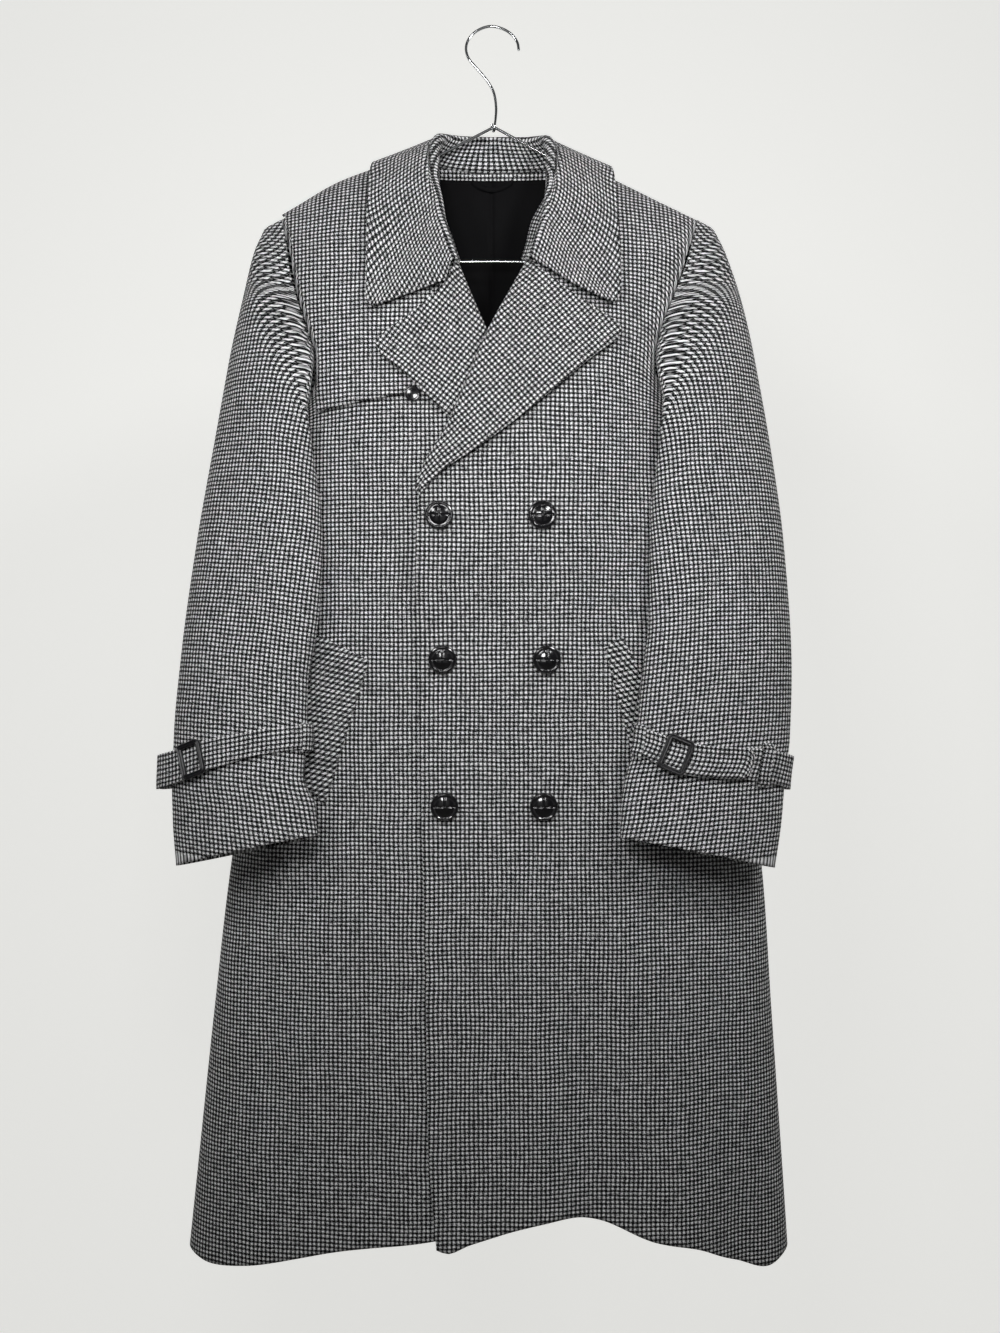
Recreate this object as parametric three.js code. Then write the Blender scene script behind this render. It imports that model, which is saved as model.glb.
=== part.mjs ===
import * as THREE from "three";

// A long double-breasted overcoat on a wire hanger, in millimetres, +Z up.
// The front faces -Y and +X is the wearer's left, so "left" is +X and "right" is -X.
// The origin is the underside of the hook's crown, where the hook is held. The tables measure z from
// the middle of the peg that holds it, crownHeight lower, and the last lines shift the whole part.

const wall = 3; // coating with its facing or canvas
const sleeveWall = 2; // coating alone
const thin = 2.5; // turned lapels, collar, flap and welts
const strapWall = 2;
const liningWall = 1;
const gap = 0.3; // between pieces at seams
const middle = 2; // x of the centre back seam
const wire = 3; // diameter of the hanger's wire
const buttonWidth = 27.5;
const crownHeight = 5.5; // underside of the hook's crown above the middle of its peg
const crownFall = 95; // how far below the shoulder the body reaches its full depth

const { clamp, lerp, smoothstep, degToRad } = THREE.MathUtils;
const vec = (x, y, z) => new THREE.Vector3(x, y, z);

// A smooth curve through one column of a table whose key column rises; it never overshoots a row.
function through(rows, key, column) {
  const at = rows.map((row) => row[key]);
  const to = rows.map((row) => row[column]);
  const rise = at.slice(1).map((next, i) => (to[i + 1] - to[i]) / (next - at[i]));
  const slope = at.map((_, i) => {
    if (i === 0) return rise[0];
    if (i === rise.length) return rise[i - 1];
    const [a, b] = [rise[i - 1], rise[i]];
    return a * b <= 0 ? 0 : (2 * a * b) / (a + b);
  });
  return (value) => {
    const v = clamp(value, at[0], at.at(-1));
    const i = clamp(at.findIndex((next) => next > v) - 1, -1, rise.length - 1);
    const k = i < 0 ? rise.length - 1 : i;
    const span = at[k + 1] - at[k];
    const s = (v - at[k]) / span;
    return (
      to[k] * (1 + 2 * s) * (1 - s) ** 2 +
      to[k + 1] * s * s * (3 - 2 * s) +
      span * s * (1 - s) * (slope[k] * (1 - s) - slope[k + 1] * s)
    );
  };
}

const curves = (rows, key, ...columns) =>
  Object.fromEntries(columns.map((column) => [column, through(rows, key, column)]));

// The body: side seams, the y they lie at, and the depth of the front and the back at the middle.
// Above the underarm the side seams run on as the edges of a shape that the armholes cut.
const body = curves(
  [
    { z: -1290, right: -317, left: 313, side: 8, front: 72, back: 34 },
    { z: -1187, right: -306, left: 306, side: 7, front: 72, back: 34 },
    { z: -1018, right: -288, left: 294, side: 6, front: 73, back: 34 },
    { z: -872, right: -271, left: 284, side: 5, front: 74, back: 34 },
    { z: -700, right: -247, left: 258, side: 5, front: 75, back: 34 },
    { z: -560, right: -228, left: 238, side: 5, front: 76, back: 35 },
    { z: -414, right: -215, left: 219, side: 5, front: 76, back: 38 },
    { z: -300, right: -229, left: 231, side: 3, front: 68, back: 40 },
    { z: -205, right: -242, left: 244, side: 1, front: 52, back: 38 },
    { z: -100, right: -248, left: 250, side: 0, front: 44, back: 36 },
  ],
  "z",
  "right",
  "left",
  "side",
  "front",
  "back",
);

// The line of the shoulders, seen from the front.
const shoulder = through(
  [
    { x: -242, z: -209 },
    { x: -217, z: -194 },
    { x: -199, z: -184 },
    { x: -156, z: -160 },
    { x: -116, z: -145 },
    { x: -75, z: -130 },
    { x: 2, z: -112 },
    { x: 88, z: -134 },
    { x: 124, z: -151 },
    { x: 172, z: -174 },
    { x: 216, z: -195 },
    { x: 244, z: -210 },
  ],
  "x",
  "z",
);

// Soft folds of the skirt: each is a trough (+) or a ridge (-) that opens towards the hem.
const folds = [
  { face: -1, x: 88, lean: 0.03, width: 34, depth: 8, top: -760 },
  { face: -1, x: 222, lean: 0.1, width: 22, depth: 6, top: -930 },
  { face: -1, x: 176, lean: 0.05, width: 30, depth: -5, top: -880 },
  { face: -1, x: -150, lean: -0.05, width: 46, depth: 4, top: -900 },
  { face: 1, x: -120, lean: -0.06, width: 40, depth: -6, top: -800 },
  { face: 1, x: 135, lean: 0.05, width: 44, depth: -7, top: -860 },
];

function foldAt(x, z, face) {
  return folds
    .filter((fold) => fold.face === face)
    .reduce((sum, fold) => {
      const open = smoothstep(fold.top - z, 0, 380);
      const across = (x - fold.x - fold.lean * (fold.top - z)) / fold.width;
      return sum + fold.depth * open * Math.exp(-across * across);
    }, 0);
}

// Zero on the coat's outer face and positive outside it.
function shape(p, face) {
  const half = p.x < 0 ? -body.right(p.z) : body.left(p.z);
  const depth = face < 0 ? body.front(p.z) : body.back(p.z);
  const across = 1 - Math.abs(p.x / half) ** 2.6;
  const down = Math.min((shoulder(p.x) - p.z) / crownFall, 1);
  const reach = across * (1 - (1 - down) ** 2);
  const y = p.y - body.side(p.z) - foldAt(p.x, p.z, face);
  return { value: y * y - depth * depth * reach, y: depth * Math.sqrt(Math.max(reach, 0)) };
}

function slopeOf(p, face) {
  const step = 0.5;
  const along = (axis) => {
    const ahead = p.clone().setComponent(axis, p.getComponent(axis) + step);
    const behind = p.clone().setComponent(axis, p.getComponent(axis) - step);
    return (shape(ahead, face).value - shape(behind, face).value) / (2 * step);
  };
  return vec(along(0), along(1), along(2));
}

// The coat's outer face at x and z, on the front (-1) or the back (1), moved out by lift.
function onBody(x, z, face, lift = 0) {
  const p = vec(x, 0, z);
  p.y = body.side(z) + foldAt(x, z, face) + face * shape(p, face).y;
  const out = slopeOf(p, face).normalize();
  return { point: p.addScaledVector(out, lift), out };
}

// Moves a loose point out until it clears the coat's outer face by lift, or onto that lift exactly.
function seat(p, lift, exact = false) {
  const q = p.clone();
  for (let round = 0; round < 6; round++) {
    const face = q.y < body.side(q.z) ? -1 : 1;
    const slope = slopeOf(q, face);
    const far = shape(q, face).value / slope.length();
    if (far < lift || exact) q.addScaledVector(slope.normalize(), (lift - far) * 0.8);
  }
  return q;
}

// Closed walls

const material = {
  cloth: new THREE.MeshStandardMaterial({ color: 0x77777a, roughness: 0.95 }),
  lining: new THREE.MeshStandardMaterial({ color: 0x0d0d0f, roughness: 0.5 }),
  horn: new THREE.MeshStandardMaterial({ color: 0x0a0a0b, roughness: 0.2 }),
  chrome: new THREE.MeshStandardMaterial({ color: 0xd8dade, roughness: 0.15, metalness: 1 }),
};

const coat = new THREE.Group();

function add(name, geometry, finish) {
  const mesh = new THREE.Mesh(geometry, finish.clone());
  mesh.name = name;
  coat.add(mesh);
  return mesh;
}

// The way out of each point of a grid, from its neighbours; turn is 1 or -1.
function outOf(points, turn) {
  const [rows, columns] = [points.length, points[0].length];
  return points.map((row, i) =>
    row.map((_, j) => {
      const down = points[Math.min(i + 1, rows - 1)][j].clone();
      const over = points[i][Math.min(j + 1, columns - 1)].clone();
      down.sub(points[Math.max(i - 1, 0)][j]);
      over.sub(points[i][Math.max(j - 1, 0)]);
      return down.cross(over).multiplyScalar(turn).normalize();
    }),
  );
}

// A closed solid between a grid of outer points and the same grid moved in by the cloth's thickness.
function sheet(name, points, out, thickness = wall, finish = material.cloth) {
  const [rows, columns] = [points.length, points[0].length];
  const position = [];
  points.flat().forEach((p) => position.push(p.x, p.y, p.z));
  points.forEach((row, i) =>
    row.forEach((p, j) => {
      const q = p.clone().addScaledVector(out[i][j], -thickness);
      position.push(q.x, q.y, q.z);
    }),
  );
  const count = rows * columns;
  const index = [];
  const quad = (a, b, c, d) => index.push(a, b, c, a, c, d);
  for (let i = 0; i < rows - 1; i++)
    for (let j = 0; j < columns - 1; j++) {
      const [a, b, c, d] = [
        i * columns + j,
        (i + 1) * columns + j,
        (i + 1) * columns + j + 1,
        i * columns + j + 1,
      ];
      quad(a, b, c, d);
      quad(d + count, c + count, b + count, a + count);
    }
  const rim = [];
  for (let i = 0; i < rows - 1; i++) rim.push(i * columns);
  for (let j = 0; j < columns - 1; j++) rim.push((rows - 1) * columns + j);
  for (let i = rows - 1; i > 0; i--) rim.push(i * columns + columns - 1);
  for (let j = columns - 1; j > 0; j--) rim.push(j);
  rim.forEach((a, k) => {
    const b = rim[(k + 1) % rim.length];
    quad(b, a, a + count, b + count);
  });
  if (volumeOf(position, index) < 0) index.reverse();
  const geometry = new THREE.BufferGeometry();
  geometry.setAttribute("position", new THREE.Float32BufferAttribute(position, 3));
  geometry.setIndex(index);
  geometry.computeVertexNormals();
  return add(name, geometry, finish);
}

function volumeOf(position, index) {
  const at = (k) => vec(...position.slice(3 * k, 3 * k + 3));
  let volume = 0;
  for (let k = 0; k < index.length; k += 3)
    volume += at(index[k]).dot(at(index[k + 1]).cross(at(index[k + 2]))) / 6;
  return volume;
}

const steps = (count) => Array.from({ length: count + 1 }, (_, i) => i / count);

// Panels of the body

// The side seam runs from the hem to the underarm, then the armhole to the shoulder's end.
const underarm = { v: 0.7, right: -215, left: 219, z: -414 };
const hemAtSide = -1262;
const frontArmhole = [
  underarm,
  { v: 0.72, right: -204, left: 205, z: -410 },
  { v: 0.745, right: -189, left: 187, z: -398 },
  { v: 0.775, right: -176, left: 169, z: -378 },
  { v: 0.81, right: -171, left: 161, z: -352 },
  { v: 0.85, right: -179, left: 168, z: -322 },
  { v: 0.9, right: -190, left: 181, z: -288 },
  { v: 0.96, right: -206, left: 204, z: -230 },
  { v: 1, right: -217, left: 216, z: -194 },
];
const backArmhole = [
  underarm,
  { v: 0.725, right: -204, left: 208, z: -407 },
  { v: 0.76, right: -191, left: 195, z: -387 },
  { v: 0.8, right: -184, left: 188, z: -356 },
  { v: 0.85, right: -185, left: 189, z: -320 },
  { v: 0.9, right: -192, left: 194, z: -282 },
  { v: 0.96, right: -206, left: 206, z: -230 },
  { v: 1, right: -217, left: 216, z: -194 },
];

// The edge of each front: the hem corner, the free edge, the roll line of the lapel and the neck.
const rightEdge = [
  { v: 0, x: 74, z: -1196 },
  { v: 0.3, x: 74, z: -950 },
  { v: 0.6, x: 74, z: -560 },
  { v: 0.66, x: 72, z: -489 },
  { v: 0.74, x: 38, z: -417 },
  { v: 0.82, x: -2, z: -338 },
  { v: 0.9, x: -34, z: -261 },
  { v: 0.95, x: -52, z: -208 },
  { v: 1, x: -75, z: -130 },
];
const leftEdge = [
  { v: 0, x: -52, z: -1234 },
  { v: 0.1, x: -60, z: -1130 },
  { v: 0.3, x: -63, z: -930 },
  { v: 0.42, x: -67, z: -780 },
  { v: 0.58, x: -71, z: -570 },
  { v: 0.66, x: -67, z: -489 },
  { v: 0.74, x: -33, z: -417 },
  { v: 0.82, x: 0, z: -338 },
  { v: 0.9, x: 39, z: -261 },
  { v: 0.95, x: 60.5, z: -208 },
  { v: 1, x: 86, z: -133 },
];

// The hems, as seen in the photograph: each front rises towards its free edge.
const rightHem = through(
  [
    { x: -315, z: hemAtSide },
    { x: -285, z: -1268 },
    { x: -248, z: -1264 },
    { x: -213, z: -1257 },
    { x: -136, z: -1240 },
    { x: -58, z: -1229 },
    { x: -30, z: -1222 },
    { x: 17, z: -1206 },
    { x: 74, z: -1196 },
  ],
  "x",
  "z",
);
const leftHem = through(
  [
    { x: -52, z: -1234 },
    { x: -40, z: -1238 },
    { x: -19, z: -1230 },
    { x: 54, z: -1210 },
    { x: 85, z: -1206 },
    { x: 108, z: -1209 },
    { x: 165, z: -1232 },
    { x: 204, z: -1240 },
    { x: 248, z: -1260 },
    { x: 284, z: -1272 },
    { x: 311, z: hemAtSide },
  ],
  "x",
  "z",
);
const backHem = through(
  [
    { x: -315, z: hemAtSide },
    { x: -150, z: -1246 },
    { x: 2, z: -1240 },
    { x: 150, z: -1246 },
    { x: 311, z: hemAtSide },
  ],
  "x",
  "z",
);
const backNeck = through(
  [
    { x: -75, z: -130 },
    { x: -48, z: -134 },
    { x: 2, z: -136 },
    { x: 55, z: -136 },
    { x: 86, z: -133 },
  ],
  "x",
  "z",
);

// The grid of x and z inside four edges that meet at the corners.
function between(side, edge, hem, top, us, vs) {
  const corner = [side(0), edge(0), side(1), edge(1)];
  return vs.map((v) =>
    us.map((u) => {
      const mix = (key) =>
        (1 - u) * side(v)[key] +
        u * edge(v)[key] +
        (1 - v) * hem(u)[key] +
        v * top(u)[key] -
        (1 - u) * (1 - v) * corner[0][key] -
        u * (1 - v) * corner[1][key] -
        (1 - u) * v * corner[2][key] -
        u * v * corner[3][key];
      return { x: mix("x"), z: mix("z") };
    }),
  );
}

const panelRows = [
  ...[0, 0.05, 0.1, 0.16, 0.22, 0.28, 0.35, 0.42, 0.47, 0.51, 0.535, 0.56, 0.58, 0.6, 0.63, 0.66, 0.68],
  ...[0.7, 0.72, 0.74, 0.76, 0.78, 0.8, 0.82, 0.84, 0.86, 0.88, 0.9, 0.92, 0.95, 0.975, 0.992, 1],
];
const fromSide = (count) => steps(count).map((s) => s ** 1.7);

const signOf = { right: -1, left: 1 };

function sideLine(wearerSide, armhole) {
  const line = curves(armhole, "v", wearerSide, "z");
  return (v) => {
    const z = v < underarm.v ? lerp(hemAtSide, underarm.z, v / underarm.v) : line.z(v);
    return { x: v < underarm.v ? body[wearerSide](z) : line[wearerSide](v), z };
  };
}

// The left front laps over the right one, and over its lapel above the buttons.
const rollLift = gap + thin;
const rightLapelRise = 3.9;
const lapLift = wall + 3 * gap;
const lapelLapLift = lapLift + 2 * rollLift + rightLapelRise + gap;
function lapOf(x, z) {
  const inLap = 1 - smoothstep(x, 85, 190);
  const belowV = 1 - smoothstep(z, -345, -215);
  const overLapel = smoothstep(z, -628, -530);
  return inLap * belowV * lerp(lapLift, lapelLapLift, overLapel);
}

function onFront(wearerSide, x, z, lift = 0) {
  if (wearerSide === "right" || lapOf(x, z) === 0) return onBody(x, z, -1, lift);
  const lapped = (dx, dz) => onBody(x + dx, z + dz, -1, lapOf(x + dx, z + dz)).point;
  const out = lapped(1, 0).sub(lapped(-1, 0)).cross(lapped(0, 1).sub(lapped(0, -1))).normalize();
  return { point: lapped(0, 0).addScaledVector(out, lift), out };
}

function edgeLine(rows) {
  const line = curves(rows, "v", "x", "z");
  return (v) => ({ x: line.x(v), z: line.z(v) });
}
const edges = { right: edgeLine(rightEdge), left: edgeLine(leftEdge) };
const hems = { right: rightHem, left: leftHem };

// Keeps half a seam's gap between a front and a back along their shared edges.
function offSeam(found, face) {
  found.point.y += (face * gap) / 2;
  return found;
}

function frontPanel(wearerSide) {
  const side = sideLine(wearerSide, frontArmhole);
  const edge = edges[wearerSide];
  const [from, to] = [side(0).x, edge(0).x];
  const [topFrom, topTo] = [side(1).x, edge(1).x];
  const grid = between(
    side,
    edge,
    (u) => ({ x: lerp(from, to, u), z: hems[wearerSide](lerp(from, to, u)) }),
    (u) => ({ x: lerp(topFrom, topTo, u), z: shoulder(lerp(topFrom, topTo, u)) }),
    fromSide(12),
    panelRows,
  );
  const found = grid.map((row) => row.map(({ x, z }) => offSeam(onFront(wearerSide, x, z), -1)));
  sheet(`front_${wearerSide}`, found.map(points), found.map(outs));
}
const points = (row) => row.map((found) => found.point);
const outs = (row) => row.map((found) => found.out);

function backPanel(wearerSide) {
  const side = sideLine(wearerSide, backArmhole);
  const centre = middle + signOf[wearerSide] * (gap / 2);
  const [from, topFrom] = [side(0).x, side(1).x];
  const neck = wearerSide === "right" ? -75 : 86;
  const neckShare = 0.62; // share of the top edge that the shoulder seam takes
  const topX = (u) =>
    u < neckShare
      ? lerp(topFrom, neck, u / neckShare)
      : lerp(neck, centre, (u - neckShare) / (1 - neckShare));
  const grid = between(
    side,
    (v) => ({ x: centre, z: lerp(backHem(middle), backNeck(middle), v) }),
    (u) => ({ x: lerp(from, centre, u), z: backHem(lerp(from, centre, u)) }),
    (u) => ({ x: topX(u), z: u < neckShare ? shoulder(topX(u)) : backNeck(topX(u)) }),
    [0, 0.015, 0.05, 0.12, 0.24, 0.42, 0.62, 0.7, 0.82, 1],
    [0, 0.1, 0.2, 0.3, 0.4, 0.5, 0.6, 0.66, 0.7, 0.725, 0.75, 0.79, 0.84, 0.88, 0.92, 0.96, 0.985, 1],
  );
  const found = grid.map((row) => row.map(({ x, z }) => offSeam(onBody(x, z, 1), 1)));
  sheet(`back_${wearerSide}`, found.map(points), found.map(outs));
}

for (const wearerSide of ["right", "left"]) {
  frontPanel(wearerSide);
  backPanel(wearerSide);
}

// Lapels: turned out over the cut edge of the front along the roll line

const breakAt = 0.66;
const gorgeAt = 0.9;
const lapelOutline = {
  right: curves(
    [
      { v: 0.66, x: 71, z: -491 },
      { v: 0.7, x: 15, z: -462 },
      { v: 0.74, x: -36, z: -418 },
      { v: 0.78, x: -77, z: -378 },
      { v: 0.82, x: -110, z: -343 },
      { v: 0.86, x: -78, z: -313 },
      { v: 0.9, x: -44, z: -284.5 },
    ],
    "v",
    "x",
    "z",
  ),
  left: curves(
    [
      { v: 0.66, x: -67, z: -494 },
      { v: 0.68, x: -49, z: -474 },
      { v: 0.72, x: 0, z: -440 },
      { v: 0.76, x: 48, z: -403 },
      { v: 0.8, x: 98, z: -359 },
      { v: 0.82, x: 125, z: -333 },
      { v: 0.86, x: 92, z: -305 },
      { v: 0.9, x: 53, z: -274.5 },
    ],
    "v",
    "x",
    "z",
  ),
};

// Points around the fold, from the inner leg to the outer face, as across and out of the front's wall.
function rollPoints(inner, radius) {
  const arc = [-90, -30, 30, 90].map((angle) => ({
    across: radius * Math.cos(degToRad(angle)),
    out: radius * Math.sin(degToRad(angle)),
  }));
  return [{ across: -inner, out: -radius }, ...arc];
}

function lapel(wearerSide, liftAt) {
  const radius = wall / 2 + gap + thin;
  const edge = edges[wearerSide];
  const outline = lapelOutline[wearerSide];
  const rows = panelRows.filter((v) => v >= breakAt && v <= gorgeAt);
  const grid = rows.map((v) => {
    const { x, z } = edge(v);
    const found = onFront(wearerSide, x, z);
    const along = vec(edge(v + 0.01).x - edge(v - 0.01).x, 0, edge(v + 0.01).z - edge(v - 0.01).z);
    const off = found.out
      .clone()
      .cross(along)
      .normalize()
      .multiplyScalar(-signOf[wearerSide]);
    if (off.x * signOf[wearerSide] > 0) off.negate();
    const core = found.point.clone().addScaledVector(found.out, -wall / 2);
    const leg = lerp(4, 12, smoothstep(v, breakAt, breakAt + 0.06));
    const fold = rollPoints(leg, radius).map((p) => {
      const out = vec(0, 0, 0).addScaledVector(found.out, p.out);
      out.addScaledVector(off, Math.max(p.across, 0));
      const point = core.clone().addScaledVector(found.out, p.out).addScaledVector(off, p.across);
      return { point, out: out.normalize() };
    });
    const leaf = [0.12, 0.3, 0.5, 0.7, 0.88, 1].map((s) => {
      const x2 = lerp(x, outline.x(v), s);
      const z2 = lerp(z, outline.z(v), s);
      return onFront(wearerSide, x2, z2, liftAt(s, x2, z2));
    });
    return [...fold, ...leaf];
  });
  sheet(`lapel_${wearerSide}`, grid.map(points), grid.map(outs), thin);
}

const flapButton = { x: -75, z: -392 };
lapel("right", (s, x, z) => {
  const near = Math.hypot(x - flapButton.x, z - flapButton.z) / 26;
  const overButton = 3 * Math.exp(-near * near) * smoothstep(s, 0.3, 1);
  return rollLift + rightLapelRise * smoothstep(s, 0.02, 0.3) + overButton;
});
lapel("left", (s) => rollLift + 3.5 * smoothstep(s, 0.02, 0.35));

// Storm flap on the right chest, sewn in at the shoulder and the armhole

const onPanel = rollLift + 2 * gap; // lift of a piece that lies flat on a front
const flapRows = [
  { v: 0, side: -173, z: -405, edge: -60, edgeZ: -388 },
  { v: 0.3, side: -170, z: -352, edge: -56, edgeZ: -330 },
  { v: 0.6, side: -188, z: -288, edge: -58, edgeZ: -262 },
  { v: 0.85, side: -204, z: -230, edge: -100, edgeZ: -192 },
  { v: 1, side: -214, z: -194, edge: -122, edgeZ: -150 },
];
{
  const rows = curves(flapRows, "v", "side", "z", "edge", "edgeZ");
  const found = [0, 0.1, 0.2, 0.3, 0.4, 0.5, 0.6, 0.7, 0.79, 0.87, 0.93, 0.97, 1].map((v) =>
    steps(8).map((u) => {
      const x = lerp(rows.side(v), rows.edge(v), u);
      const z = lerp(lerp(rows.z(v), rows.edgeZ(v), u), shoulder(x) - 2, v ** 6);
      return onBody(x, z, -1, onPanel + 0.5 * gap);
    }),
  );
  sheet("storm_flap", found.map(points), found.map(outs), thin);
}

// Slanted welts of the hand pockets

const welts = {
  right: { top: [-172, -628], inner: [-119, -654], low: [-163, -796], outer: [-208, -760] },
  left: { top: [130, -630], inner: [113, -642], low: [152, -790], outer: [196, -762] },
};
for (const [wearerSide, corner] of Object.entries(welts)) {
  const found = steps(8).map((v) =>
    steps(4).map((u) => {
      const mix = (k) =>
        lerp(lerp(corner.top[k], corner.inner[k], u), lerp(corner.outer[k], corner.low[k], u), v);
      return onFront(wearerSide, mix(0), mix(1), onPanel);
    }),
  );
  sheet(`pocket_welt_${wearerSide}`, found.map(points), found.map(outs), thin);
}

// Collar: stand and fall in one, folded over along the roll

const collarRows = [
  { v: 0, x: -33, y: -70, z: -260, baseX: -31, baseY: -55, baseZ: -257, edgeX: -43, edgeY: -70, edgeZ: -281 },
  { v: 0.06, x: -40, y: -66, z: -238, baseX: -38, baseY: -52, baseZ: -235, edgeX: -76, edgeY: -70, edgeZ: -293 },
  { v: 0.12, x: -46, y: -58, z: -214, baseX: -47, baseY: -46, baseZ: -209, edgeX: -114, edgeY: -66, edgeZ: -305 },
  { v: 0.15, x: -48, y: -54, z: -200, baseX: -53, baseY: -42, baseZ: -196, edgeX: -121, edgeY: -62, edgeZ: -290 },
  { v: 0.22, x: -54, y: -38, z: -166, baseX: -61, baseY: -28, baseZ: -164, edgeX: -121, edgeY: -45, edgeZ: -215 },
  { v: 0.28, x: -56, y: -20, z: -131, baseX: -68, baseY: -14, baseZ: -142, edgeX: -119, edgeY: -25, edgeZ: -170 },
  { v: 0.34, x: -52, y: 0, z: -107, baseX: -68, baseY: 3, baseZ: -129, edgeX: -115, edgeY: 2, edgeZ: -140 },
  { v: 0.42, x: -30, y: 23, z: -100, baseX: -44, baseY: 22, baseZ: -133, edgeX: -82, edgeY: 40, edgeZ: -172 },
  { v: 0.5, x: 2, y: 30, z: -98, baseX: 2, baseY: 27, baseZ: -135, edgeX: 2, edgeY: 44, edgeZ: -184 },
  { v: 0.58, x: 36, y: 23, z: -101, baseX: 50, baseY: 22, baseZ: -135, edgeX: 86, edgeY: 40, edgeZ: -174 },
  { v: 0.66, x: 59, y: 0, z: -109, baseX: 78, baseY: 3, baseZ: -131, edgeX: 119, edgeY: 2, edgeZ: -143 },
  { v: 0.72, x: 62, y: -20, z: -133, baseX: 76, baseY: -14, baseZ: -146, edgeX: 123, edgeY: -25, edgeZ: -174 },
  { v: 0.78, x: 60, y: -38, z: -168, baseX: 67, baseY: -28, baseZ: -168, edgeX: 126, edgeY: -45, edgeZ: -220 },
  { v: 0.85, x: 55, y: -54, z: -206, baseX: 49, baseY: -38, baseZ: -201, edgeX: 128, edgeY: -62, edgeZ: -290 },
  { v: 0.88, x: 52, y: -58, z: -219, baseX: 43, baseY: -40, baseZ: -214, edgeX: 120, edgeY: -66, edgeZ: -304 },
  { v: 0.94, x: 45, y: -66, z: -241, baseX: 38, baseY: -47, baseZ: -237, edgeX: 88, edgeY: -70, edgeZ: -292 },
  { v: 1, x: 38, y: -70, z: -257.5, baseX: 33, baseY: -53, baseZ: -254.5, edgeX: 51, edgeY: -70, edgeZ: -267 },
];
const turning = through(
  [
    { v: 0, angle: 270 },
    { v: 0.12, angle: 262 },
    { v: 0.34, angle: 180 },
    { v: 0.5, angle: 90 },
    { v: 0.66, angle: 0 },
    { v: 0.88, angle: -82 },
    { v: 1, angle: -90 },
  ],
  "v",
  "angle",
);
{
  const c = curves(
    collarRows,
    "v",
    ...["x", "y", "z", "baseX", "baseY", "baseZ", "edgeX", "edgeY", "edgeZ"],
  );
  const crest = (v) => vec(c.x(v), c.y(v), c.z(v));
  const radius = gap + thin + 1;
  const clearOf = (p, v) =>
    lerp(onPanel + 3 * gap, onPanel + thin + 3 * gap, smoothstep(Math.abs(v - 0.5), 0.18, 0.26)) +
    (p.x > 0 && p.y < 0 ? lapOf(p.x, p.z) : 0);
  const vs = [
    0, 0.03, 0.06, 0.09, 0.12, 0.135, 0.15, 0.185, 0.22, 0.25, 0.28, 0.31, 0.34, 0.38, 0.42, 0.46, 0.5,
  ];
  const grid = [...vs, ...vs.slice(0, -1).map((v) => 1 - v).reverse()].map((v) => {
    const along = crest(Math.min(v + 0.01, 1)).sub(crest(Math.max(v - 0.01, 0))).normalize();
    const angle = degToRad(turning(v));
    const up = along.clone().cross(vec(Math.cos(angle), Math.sin(angle), 0)).normalize();
    const over = up.clone().cross(along);
    const core = crest(v).addScaledVector(up, -radius);
    const fold = [-90, -30, 30, 90].map((turn) =>
      core
        .clone()
        .addScaledVector(up, radius * Math.cos(degToRad(turn)))
        .addScaledVector(over, radius * Math.sin(degToRad(turn))),
    );
    const base = vec(c.baseX(v), c.baseY(v), c.baseZ(v));
    const free = vec(c.edgeX(v), c.edgeY(v), c.edgeZ(v));
    const edge = seat(free, clearOf(free, v), true);
    const stand = [0, 0.5].map((s) => base.clone().lerp(fold[0], s));
    const leaf = [0.2, 0.42, 0.64, 0.84, 1].map((s) => {
      const p = fold[3].clone().lerp(edge, s);
      return seat(p, clearOf(p, v));
    });
    return [...stand, ...fold, ...leaf];
  });
  sheet("collar", grid, outOf(grid, -1), thin);
}

// Sleeves: tubes from the armhole to the cuff, between an outer and an inner line

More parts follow.
